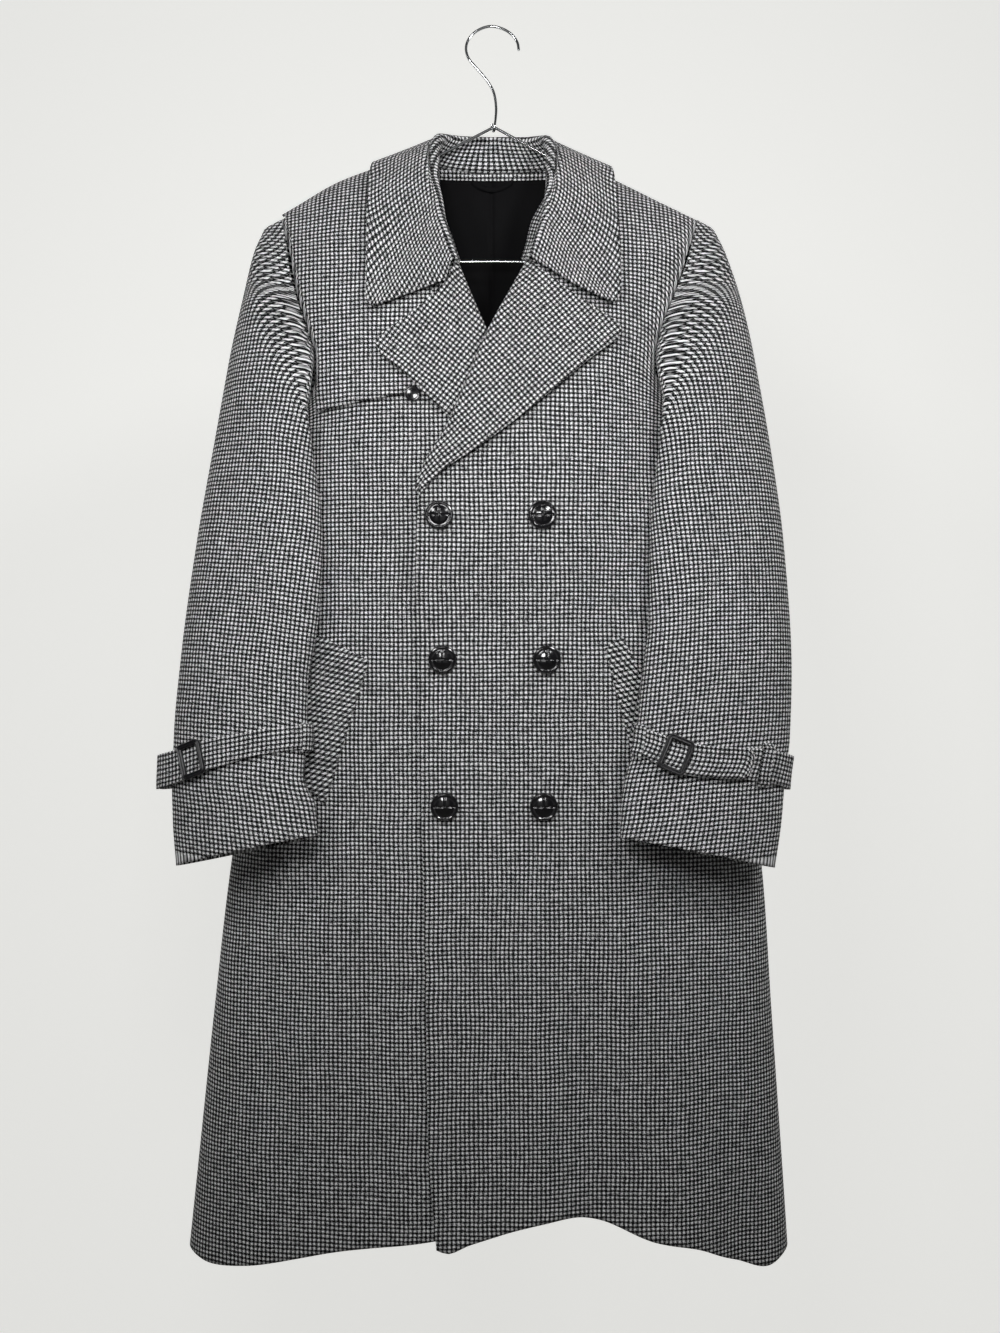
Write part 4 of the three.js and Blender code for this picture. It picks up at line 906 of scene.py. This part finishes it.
# Soft folds of the sleeves: t down the sleeve, turn round it in degrees, depth inwards
sleeveCreases = {
    "right": [
        {"t": 0.3, "turn": 120, "slant": -260, "long": 0.16, "wide": 12, "depth": 2.2},
        {"t": 0.44, "turn": 70, "slant": 150, "long": 0.12, "wide": 13, "depth": 1.8},
        {"t": 0.56, "turn": 135, "slant": -180, "long": 0.1, "wide": 12, "depth": 2.0},
        {"t": 0.64, "turn": 62, "slant": 90, "long": 0.13, "wide": 11, "depth": -1.6},
        {"t": 0.2, "turn": 40, "slant": 60, "long": 0.14, "wide": 13, "depth": 1.5},
        {"t": 0.5, "turn": 250, "slant": 120, "long": 0.2, "wide": 14, "depth": 1.6},
    ],
    "left": [
        {"t": 0.28, "turn": 124, "slant": -240, "long": 0.15, "wide": 12, "depth": 2.2},
        {"t": 0.42, "turn": 92, "slant": 120, "long": 0.14, "wide": 12, "depth": 1.9},
        {"t": 0.6, "turn": 118, "slant": -160, "long": 0.12, "wide": 13, "depth": 1.8},
        {"t": 0.55, "turn": 48, "slant": 80, "long": 0.15, "wide": 12, "depth": -1.5},
        {"t": 0.18, "turn": 52, "slant": 60, "long": 0.12, "wide": 12, "depth": 1.4},
        {"t": 0.52, "turn": 246, "slant": -110, "long": 0.22, "wide": 14, "depth": 1.7},
    ],
}
underClear = 5 * gap
topClear = underClear + 2 * sleeveWall + 7 * gap
awayClear = sleeveWall + 15 * gap
innerFold = {"turn": 180, "v": 0.745}
sideSeamTurn = 215
armholes = {"front": curvesOf(frontArmhole, "v"), "back": curvesOf(backArmhole, "v")}


def sleeveOf(wearer):
    sign = signOf[wearer]
    c = curvesOf(sleeveForms[wearer], "t")

    def outer(t):
        return stacked(c["outX"](t), c["outY"](t), c["outZ"](t))

    def inner(t):
        return stacked(c["inX"](t), c["inY"](t), c["inZ"](t))

    def centre(t):
        return (outer(t) + inner(t)) / 2

    def clearOf(turn):
        tucked = smoothstep(turn, 172, 190) * (1 - smoothstep(turn, 198, 212))
        return lerp(np.where(turn < 190, topClear, awayClear), underClear, tucked)

    def armhole(turn):
        inFold, atSide = innerFold["turn"], sideSeamTurn
        v = np.where(
            turn < inFold,
            lerp(1, innerFold["v"], turn / inFold),
            np.where(
                turn < atSide,
                lerp(innerFold["v"], underarm["v"], (turn - inFold) / (atSide - inFold)),
                lerp(underarm["v"], 1, (turn - atSide) / (360 - atSide)),
            ),
        )
        ahead = turn < atSide
        x = np.where(ahead, armholes["front"][wearer](v), armholes["back"][wearer](v))
        z = np.where(ahead, armholes["front"]["z"](v), armholes["back"]["z"](v))
        low = smoothstep(180 - np.abs(180 - turn), 10, 60)
        points, out = onBody(x, z, np.where(ahead, -1.0, 1.0), low * awayClear)
        points[..., 0] += sign * lerp(1.5, 6, low) * gap
        return points, out

    def section(t, turn):
        half = (outer(t) - inner(t)) / 2
        axis = centre(np.minimum(t + 0.02, 1)) - centre(np.maximum(t - 0.02, 0))
        forward = unit(np.cross(axis, half))
        forward = np.where(forward[..., 1:2] > 0, -forward, forward)
        rise = np.sin(np.radians(turn))
        reach = np.where(rise > 0, c["front"](t), c["back"](t))
        for crease in sleeveCreases[wearer]:
            along = (t - crease["t"]) / crease["long"]
            across = (turn - crease["turn"] - crease["slant"] * (t - crease["t"])) / crease["wide"]
            reach = reach - crease["depth"] * np.exp(-along * along - across * across)
        return centre(t) + half * np.cos(np.radians(turn))[..., None] + forward * (rise * reach)[..., None]

    def place(t, turn):
        t, turn = (np.asarray(a, float) for a in np.broadcast_arrays(t, turn))
        around = np.mod(turn, 360)
        low = (1 - np.cos(np.radians(around))) / 2
        turns, back = np.unique(around, return_inverse=True)
        left = (armhole(turns)[0] - section(0 * turns, turns))[back.reshape(around.shape)]
        fade = 1 - smoothstep(t, 0, lerp(0.06, 0.26, low))
        joined = section(t, around) + left * fade[..., None]
        held = 1 - smoothstep(joined[..., 2], underarm["z"] + 30, underarm["z"] + 75)
        held = held * smoothstep(t, 0, 0.012)
        near = held > 0
        if near.any():
            close = joined[near]
            joined[near] = lerp(close, seated(close, clearOf(around)[near]), held[near][:, None])
        return joined

    def at(t, turn, lift=0.0):
        t, turn, lift = (np.asarray(a, float) for a in np.broadcast_arrays(t, turn, lift))
        across = place(t, turn + 2) - place(t, turn - 2)
        down = place(np.minimum(t + 0.004, 1), turn) - place(np.maximum(t - 0.004, 0), turn)
        out = unit(np.cross(across, down) * sign)
        around = np.mod(turn, 360)
        flat = 1 - smoothstep(around, 60, 110) * (1 - smoothstep(around, 218, 236))
        share = np.where(t < 0.05, flat * (1 - t / 0.05), 0)[..., None]
        turns, back = np.unique(around, return_inverse=True)
        out = unit(lerp(out, armhole(turns)[1][back.reshape(around.shape)], share))
        return place(t, turn) + out * lift[..., None], out

    return at


sleeves = {wearer: sleeveOf(wearer) for wearer in signOf}
sleeveSteps = {"along": 210, "top": 96, "under": 54, "seamHalf": 0.4}
seamTurns = {"front": 186, "back": 300}


def sleeveCloth(points):
    middle = points[:, points.shape[1] // 2]
    axis = unit(middle[-1] - middle[0])
    fallen = points @ axis
    fallOfMiddle = np.maximum.accumulate(fallen[:, points.shape[1] // 2])
    alongMiddle = np.concatenate([[0], np.cumsum(np.linalg.norm(np.diff(middle, axis=0), axis=1))])
    v = np.interp(fallen, fallOfMiddle, alongMiddle) + np.minimum(fallen - fallOfMiddle[0], 0)
    step = np.diff(points, axis=1)
    step = step - (step @ axis)[..., None] * axis
    level = unit(step[len(points) // 3])
    u = np.concatenate([np.zeros((len(points), 1)), np.cumsum((step * level).sum(axis=-1), axis=1)], axis=1)
    u = u - u[:, points.shape[1] // 2 : points.shape[1] // 2 + 1]
    return np.stack([u, -v], axis=-1)


def makeSleeve(wearer, part):
    half = sleeveSteps["seamHalf"]
    start, end = {
        "top": (seamTurns["back"] - 360 + half, seamTurns["front"] - half),
        "under": (seamTurns["front"] + half, seamTurns["back"] - half),
    }[part]
    t = np.linspace(0, 1, sleeveSteps["along"] + 1) ** 1.15
    turns, ts = np.meshgrid(np.linspace(start, end, sleeveSteps[part] + 1), t)
    points, outs = sleeves[wearer](ts, turns)
    clothPiece(
        f"sleeve_{wearer}_{part}", points, outs, sleeveCloth(points), sleeveWall
    )


for wearer in signOf:
    for part in ("top", "under"):
        makeSleeve(wearer, part)
print("sleeves made")


# Cuff straps, their loops and the stitches along them

straps = {
    "right": {"buckle": 62, "tip": -4, "bulge": 9, "dip": 0.002, "loops": ((172, 9), (-60, 6))},
    "left": {"buckle": 124, "tip": 66, "bulge": 3, "dip": 0.024, "loops": ((164, 8), (54, 5))},
}
strapLayer = strapWall + 4.4 * gap
strapHalf = 0.0255
tipLength = 9


def wrapped(turn):
    return np.mod(np.mod(turn, 360) + 540, 360) - 180


def onStrap(wearer, turn, across, lift):
    strap = straps[wearer]
    near = wrapped(turn - strap["buckle"] + 12) / 42
    t = 0.82 + 0.035 * np.cos(np.radians(turn)) + strap["dip"] * np.exp(-near * near)
    bulge = strap["bulge"] * np.exp(-((wrapped(turn) / 34) ** 2))
    return sleeves[wearer](t + across * strapHalf, turn, lift + bulge)


def strapLift(wearer, turn):
    return strapLayer * (1 + smoothstep(straps[wearer]["buckle"] + 36 - turn, 0, 20))


def along3(at, far, rows):
    return np.array([np.interp(at, far, rows[:, k]) for k in range(3)])


def makeStitches(name, points, outs, stitch=3.2, space=1.6, width=0.75):
    beads = bmesh.new()
    far = np.concatenate([[0], np.cumsum(np.linalg.norm(np.diff(points, axis=0), axis=-1))])
    for start in np.arange(0, far[-1] - stitch, stitch + space):
        ends = [along3(at, far, points) for at in (start, start + stitch)]
        out = along3(start, far, outs)
        along = Vector(ends[1] - ends[0]).normalized()
        over = Vector(out).cross(along).normalized()
        up = along.cross(over)
        centre = Vector(toMetres((ends[0] + ends[1]) / 2 + out * 0.1))
        turn = Matrix((along, over, up)).transposed().to_4x4()
        size = Matrix.Diagonal((stitch / 2000, width / 2000, width / 2600, 1))
        bmesh.ops.create_uvsphere(
            beads, u_segments=6, v_segments=4, radius=1, matrix=Matrix.Translation(centre) @ turn @ size
        )
    mesh = bpy.data.meshes.new(name)
    beads.to_mesh(mesh)
    beads.free()
    return finishPiece(mesh, name, None, sewingThread)


def makeStrap(wearer):
    strap = straps[wearer]
    start, end = strap["buckle"] + 360, strap["tip"]
    long = np.linspace(start, end + tipLength, 230)
    tip = end + tipLength * np.linspace(1, 0, 14)[1:] ** 1.6
    along = np.concatenate([long, tip])
    nearTip = np.clip((along - end) / tipLength, 0, 1)
    half = np.sqrt(np.maximum(1 - (1 - nearTip) ** 2, 0)) * 0.75 + 0.25
    across = np.linspace(-1, 1, 15)
    turns = np.repeat(along[:, None], len(across), axis=1)
    sides = half[:, None] * across[None, :]
    points, outs = onStrap(wearer, turns, sides, strapLift(wearer, turns))
    cloth = alongGrid(points)
    cloth = np.stack([cloth[..., 1], cloth[..., 0]], axis=-1)
    clothPiece(f"strap_{wearer}", points, outs, cloth, strapWall)
    for number, side in enumerate((-0.56, 0.56)):
        turn = np.linspace(strap["buckle"] + (20 if wearer == "left" else 12), end + tipLength, 200)
        p, n = onStrap(wearer, turn, side + 0 * turn, strapLift(wearer, turn))
        makeStitches(f"strap_stitch_{wearer}_{number + 1}", p, n)


def makeStrapLoop(wearer, number, turn, halfTurn):
    across = np.concatenate(
        [np.linspace(-1.35, -1.05, 9), np.linspace(-0.9, 0.9, 13), np.linspace(1.05, 1.35, 9)]
    )
    sides = np.linspace(-halfTurn, halfTurn, 11)
    a, s = np.meshgrid(across, sides, indexing="ij")
    over = 1 - smoothstep(np.abs(a), 1.12, 1.3)
    points, outs = onStrap(wearer, turn + s, a, strapLayer * (1 + over))
    cloth = alongGrid(points)
    name = f"strap_loop_{wearer}_{number}"
    clothPiece(name, points, outs, cloth, strapWall)


buckleForm = {"width": 27.0, "height": 35.0, "corner": 5.0}
buckleProfile = {  # in from the outer edge, and up from the back
    "in": [0.2, 0.0, 0.3, 1.0, 1.7, 2.2, 2.7, 3.3, 4.0, 4.7, 5.0, 4.8],
    "up": [0.0, 1.4, 2.6, 3.6, 3.3, 2.3, 2.4, 3.2, 3.0, 2.2, 1.2, 0.0],
}


def roundedRing(halfWidth, halfHeight, radius, count):
    ring = []
    for quarter, (sx, sy) in enumerate(((1, 1), (-1, 1), (-1, -1), (1, -1))):
        for angle in np.linspace(0, 90, count):
            turn = math.radians(angle + 90 * quarter)
            ring.append(
                (
                    sx * (halfWidth - radius) + radius * math.cos(turn),
                    sy * (halfHeight - radius) + radius * math.sin(turn),
                )
            )
    ring.append(ring[0])
    return np.array(ring)


def makeBuckle(wearer):
    turn = np.array([straps[wearer]["buckle"]], float)
    point, out = onStrap(wearer, turn, 0 * turn, 2 * strapLayer + 2 * gap + 1)
    ahead = onStrap(wearer, turn + 3, 0 * turn, 0)[0] - onStrap(wearer, turn - 3, 0 * turn, 0)[0]
    across = unit(np.cross(out, ahead))[0]
    along = np.cross(across, out[0])
    rings = []
    inwards, ups = (buckleProfile[key] + buckleProfile[key][:1] for key in ("in", "up"))
    for inward, up in zip(inwards, ups):
        ring = roundedRing(
            buckleForm["width"] / 2 - inward,
            buckleForm["height"] / 2 - inward,
            max(buckleForm["corner"] - inward, 1.2),
            9,
        )
        rings.append([point[0] + along * a + across * b + out[0] * up for a, b in ring])
    mesh = gridMesh(f"buckle_{wearer}", np.array(rings), closed=(True, True))
    finishPiece(mesh, f"buckle_{wearer}", [f"buckle_{wearer}"], coveredBuckle)


for wearer in signOf:
    makeStrap(wearer)
    for number, (turn, halfTurn) in enumerate(straps[wearer]["loops"]):
        makeStrapLoop(wearer, number + 1, turn, halfTurn)
    makeBuckle(wearer)
print("cuff straps made")


# Buttons: a raised rim round four cushioned quarters

buttonForm = {"width": 27.5, "height": 7.5, "groove": 0.7, "grooveWidth": 0.8}
buttonProfile = {
    "out": [0.0, 0.8, 1.0, 1.0, 0.94, 0.86, 0.8, 0.7, 0.5, 0.3, 0.12, 0.0],
    "up": [0.0, 0.0, 0.3, 0.6, 0.78, 0.84, 0.78, 0.76, 0.88, 0.96, 1.0, 1.0],
}


def makeButton(name, x, z, lift, form, cross=True):
    panel = "left" if cross else "right"
    point, out = (found[0] for found in onFront(panel, np.array([x], float), np.array([z], float), lift))
    point = point + out * 2 * gap
    side = unit(np.cross(out, (0, 0, 1)))
    up = np.cross(side, out)
    around = np.radians(np.linspace(0, 360, 145))
    steps = np.linspace(0, len(buttonProfile["out"]) - 1, 56)
    radii = np.interp(steps, range(len(buttonProfile["out"])), buttonProfile["out"]) * form["width"] / 2
    rises = np.interp(steps, range(len(buttonProfile["up"])), buttonProfile["up"]) * form["height"]
    a = radii[:, None] * np.cos(around)[None, :]
    b = radii[:, None] * np.sin(around)[None, :]
    inner = 1 - smoothstep(radii, form["width"] * 0.36, form["width"] * 0.42)
    top = smoothstep(rises, form["height"] * 0.6, form["height"] * 0.74)
    groove = np.maximum(
        np.exp(-((a / buttonForm["grooveWidth"]) ** 2)), np.exp(-((b / buttonForm["grooveWidth"]) ** 2))
    )
    heights = rises[:, None] - cross * buttonForm["groove"] * groove * (inner * top)[:, None]
    grid = point + a[..., None] * side + b[..., None] * up + heights[..., None] * out
    mesh = gridMesh(name, grid, closed=(True, True))
    finishPiece(mesh, name, [name], horn)


buttonRows = {
    "upper": {"right": -48, "left": 51, "z": -513},
    "middle": {"right": -46, "left": 56, "z": -653},
    "lower": {"right": -44, "left": 53, "z": -797},
}
for row, place in buttonRows.items():
    for column in signOf:
        makeButton(f"button_{row}_{column}", place[column], place["z"], 0.0, buttonForm)
makeButton("button_flap", flapButton["x"], flapButton["z"], onPanel, flapButton, cross=False)
print("buttons made")


# Black back lining with soft upright folds, and the hanging loop

liningIn = wall + 2.2  # from the back's outside to the lining
liningForm = {"half": (105, 62), "z": (-420, -143), "fold": 1.5}
v, u = np.meshgrid(np.linspace(0, 1, 90), np.linspace(0, 1, 90), indexing="ij")
x = middle + lerp(-1, 1, u) * lerp(*liningForm["half"], v)
upright = 0.5 + 0.5 * np.sin(x / 9 + 1.3 * np.sin(x / 23)) * (0.6 + 0.4 * np.cos(v * 5 + x / 30))
pleat = np.exp(-(((x - middle) / 2.2) ** 2))
lift = -liningIn - liningForm["fold"] * upright + 1.2 * pleat
points, outs = onBody(x, lerp(*liningForm["z"], v), 1, lift)
clothPiece("lining_back", points, outs, bodyCloth(points, -1), liningWall, finish=satin)

loopForm = {"half": 22, "sag": 8, "width": 5, "z": -144}
s, side = np.meshgrid(np.linspace(0, 1, 60), np.linspace(-1, 1, 9), indexing="ij")
x = middle + lerp(-loopForm["half"], loopForm["half"], s)
z = loopForm["z"] - loopForm["sag"] * (1 - (2 * s - 1) ** 2) + side * loopForm["width"] / 2
points, outs = onBody(x, z, 1, -liningIn - liningWall - 2 * gap - 0.4 * (1 - side * side))
clothPiece("hanging_loop", points, outs, alongGrid(points), 1.2, finish=satin)
print("lining made")


# Wire hanger: a closed frame under the shoulders and a hook looped round its apex

apex = {"x": 4, "z": -98}
barZ = -238


def underShoulder(x):
    return float(shoulder(x)) - (wall + gap + wire / 2) * 1.22


def smoothPath(knots, closed, steps):
    knots = np.array(knots, float)
    count = len(knots)
    spans = count if closed else count - 1
    found = []
    for k in range(spans):
        around = [k - 1, k, k + 1, k + 2]
        if closed:
            p = knots[[i % count for i in around]]
        else:
            p = np.array(
                [
                    knots[0] * 2 - knots[1] if k == 0 else knots[k - 1],
                    knots[k],
                    knots[k + 1],
                    knots[-1] * 2 - knots[-2] if k == spans - 1 else knots[min(k + 2, count - 1)],
                ]
            )
        knot = np.concatenate([[0], np.cumsum(np.linalg.norm(np.diff(p, axis=0), axis=-1) ** 0.5)])
        for t in np.linspace(knot[1], knot[2], steps, endpoint=False):
            first = [
                lerp(p[i], p[i + 1], (t - knot[i]) / (knot[i + 1] - knot[i])) for i in range(3)
            ]
            second = [
                lerp(first[i], first[i + 1], (t - knot[i]) / (knot[i + 2] - knot[i])) for i in range(2)
            ]
            found.append(lerp(second[0], second[1], (t - knot[1]) / (knot[2] - knot[1])))
    if not closed:
        found.append(knots[-1])
    return np.array(found)


def makeWire(name, knots, closed, steps):
    path = toMetres(smoothPath(knots, closed, steps))
    line = bpy.data.curves.new(name + "Path", "CURVE")
    line.dimensions = "3D"
    line.bevel_depth = wire / 2000
    line.bevel_resolution = 5
    line.use_fill_caps = not closed
    spline = line.splines.new("POLY")
    spline.points.add(len(path) - 1)
    for at, place in zip(spline.points, path):
        at.co = (*place, 1)
    spline.use_cyclic_u = closed
    sweep = bpy.data.objects.new(name + "Path", line)
    mesh = bpy.data.meshes.new_from_object(sweep)
    bpy.data.objects.remove(sweep)
    mesh.materials.clear()
    rounded = bmesh.new()
    rounded.from_mesh(mesh)
    bmesh.ops.remove_doubles(rounded, verts=rounded.verts, dist=0.00001)
    bmesh.ops.recalc_face_normals(rounded, faces=rounded.faces)
    rounded.to_mesh(mesh)
    rounded.free()
    return finishPiece(mesh, name, [name], chrome)


hangerKnots = [
    (apex["x"], 0, apex["z"]),
    (apex["x"] + 3, 0, apex["z"] - 1.5),
    (61, 0, -129),
    (80, 0, -139),
    *[(x, 0, underShoulder(x)) for x in (100, 130, 160)],
    (190, 0, underShoulder(190) - 1.5),
    (201, 0, -204),
    (205, 0, -219),
    (199, 0, -233),
    (185, 0, barZ),
    (3, 0, barZ),
    (-182, 0, barZ),
    (-197, 0, -233),
    (-204, 0, -219),
    (-201, 0, -205),
    (-190, 0, underShoulder(-190) - 2.2),
    (-160, 0, underShoulder(-160) - 0.6),
    *[(x, 0, underShoulder(x)) for x in (-130, -100)],
    (-75, 0, -139),
    (-56, 0, -129),
    (apex["x"] - 3, 0, apex["z"] - 1.5),
]
eye = wire + 2 * gap
hookKnots = [
    (30, 0, -18),
    (28.5, 0, -10),
    (23.5, 0, -2.5),
    (14, 0, 4),
    (0, 0, crownHeight + wire / 2),
    (-14, 0, 2),
    (-22.5, 0, -7),
    (-25, 0, -16),
    (-22.5, 0, -26),
    (-15, 0, -35.5),
    (-5, 0, -47),
    (3.5, 0, -61),
    (6.3, 0, -77),
    (5.8, -1.2, -90),
    (5, -eye, apex["z"] + 1),
    (4.5, -eye * 0.7, apex["z"] - eye * 0.75),
    (4, 0, apex["z"] - eye * 1.05),
    (3, eye * 0.75, apex["z"] - eye * 0.7),
    (2.2, eye, apex["z"] + 1.2),
    (1.6, eye * 0.9, apex["z"] + 5),
]
makeWire("hanger_frame", hangerKnots, True, 14)
makeWire("hanger_hook", hookKnots, False, 12)
print("hanger made")


# Floor, backdrop, lights and camera

room = {
    "wallY": 0.9,
    "wallPaint": "#c9c9c6",
    "wallGlow": 0.68,
    "floorZ": -2.3,
    "floorPaint": "#8d8c88",
    "floorGlow": 0.0,
    "side": 6,
    "top": 3,
}


def makePlane(name, corners, colour, glow):
    plane = bmesh.new()
    bmesh.ops.create_grid(plane, x_segments=1, y_segments=1, size=1)
    mesh = bpy.data.meshes.new(name)
    for vertex in plane.verts:
        x = corners[0][0] if vertex.co.x < 0 else corners[1][0]
        if corners[0][2] == corners[1][2]:
            y = corners[0][1] if vertex.co.y < 0 else corners[1][1]
            vertex.co = (x, y, corners[0][2])
        else:
            z = corners[0][2] if vertex.co.y < 0 else corners[1][2]
            vertex.co = (x, corners[0][1], z)
    plane.to_mesh(mesh)
    plane.free()
    made = bpy.data.objects.new(name, mesh)
    bpy.context.scene.collection.objects.link(made)
    finish, tree, shader = newFinish(
        name + "Paint",
        {
            "Base Color": colourOf(colour),
            "Roughness": 0.9,
            "Emission Color": colourOf("#fbfbf8"),
            "Emission Strength": glow,
        },
    )
    mesh.materials.append(finish)


side, wallY, floorZ = room["side"], room["wallY"], room["floorZ"]
floorCorners = ((-side, -side, floorZ), (side, wallY, floorZ))
wallCorners = ((-side, wallY, floorZ), (side, wallY, room["top"]))
makePlane("floor", floorCorners, room["floorPaint"], room["floorGlow"])
makePlane("backdrop", wallCorners, room["wallPaint"], room["wallGlow"])

lamps = {
    "front": {"at": (-0.1, -0.92, -0.36), "to": (0.0, 0.0, -0.44), "size": 0.22, "watts": 3.6},
    "right": {"at": (0.5, -0.86, 0.02), "to": (0.0, 0.0, -0.44), "size": 0.18, "watts": 4.4},
    "left": {"at": (-0.58, -0.96, 0.0), "to": (0.0, 0.0, -0.44), "size": 0.2, "watts": 2.8},
    "card": {"at": (0.0, -4.0, -0.2), "to": (0.0, 0.0, -0.3), "size": 3.2, "watts": 7},
}
for name, lamp in lamps.items():
    light = bpy.data.lights.new(name, "AREA")
    light.size = lamp["size"]
    light.energy = lamp["watts"]
    holder = bpy.data.objects.new(name, light)
    bpy.context.scene.collection.objects.link(holder)
    holder.location = lamp["at"]
    aim = Vector(lamp["to"]) - Vector(lamp["at"])
    holder.rotation_euler = aim.to_track_quat("-Z", "Y").to_euler()

world = bpy.data.worlds.new("softRoom")
world.use_nodes = True
world.node_tree.nodes["Background"].inputs["Color"].default_value = colourOf("#f2f4f6")
world.node_tree.nodes["Background"].inputs["Strength"].default_value = 0.05
bpy.context.scene.world = world
bpy.context.scene.view_settings.view_transform = "Standard"

view = bpy.data.cameras.new("view")
view.lens = 32.4
view.sensor_width = 36
camera = bpy.data.objects.new("view", view)
camera.location = (0.0104, -1.25, -0.6654)
camera.rotation_euler = (math.radians(90), 0, 0)
bpy.context.scene.collection.objects.link(camera)
bpy.context.scene.camera = camera
print("room, lights and camera made")
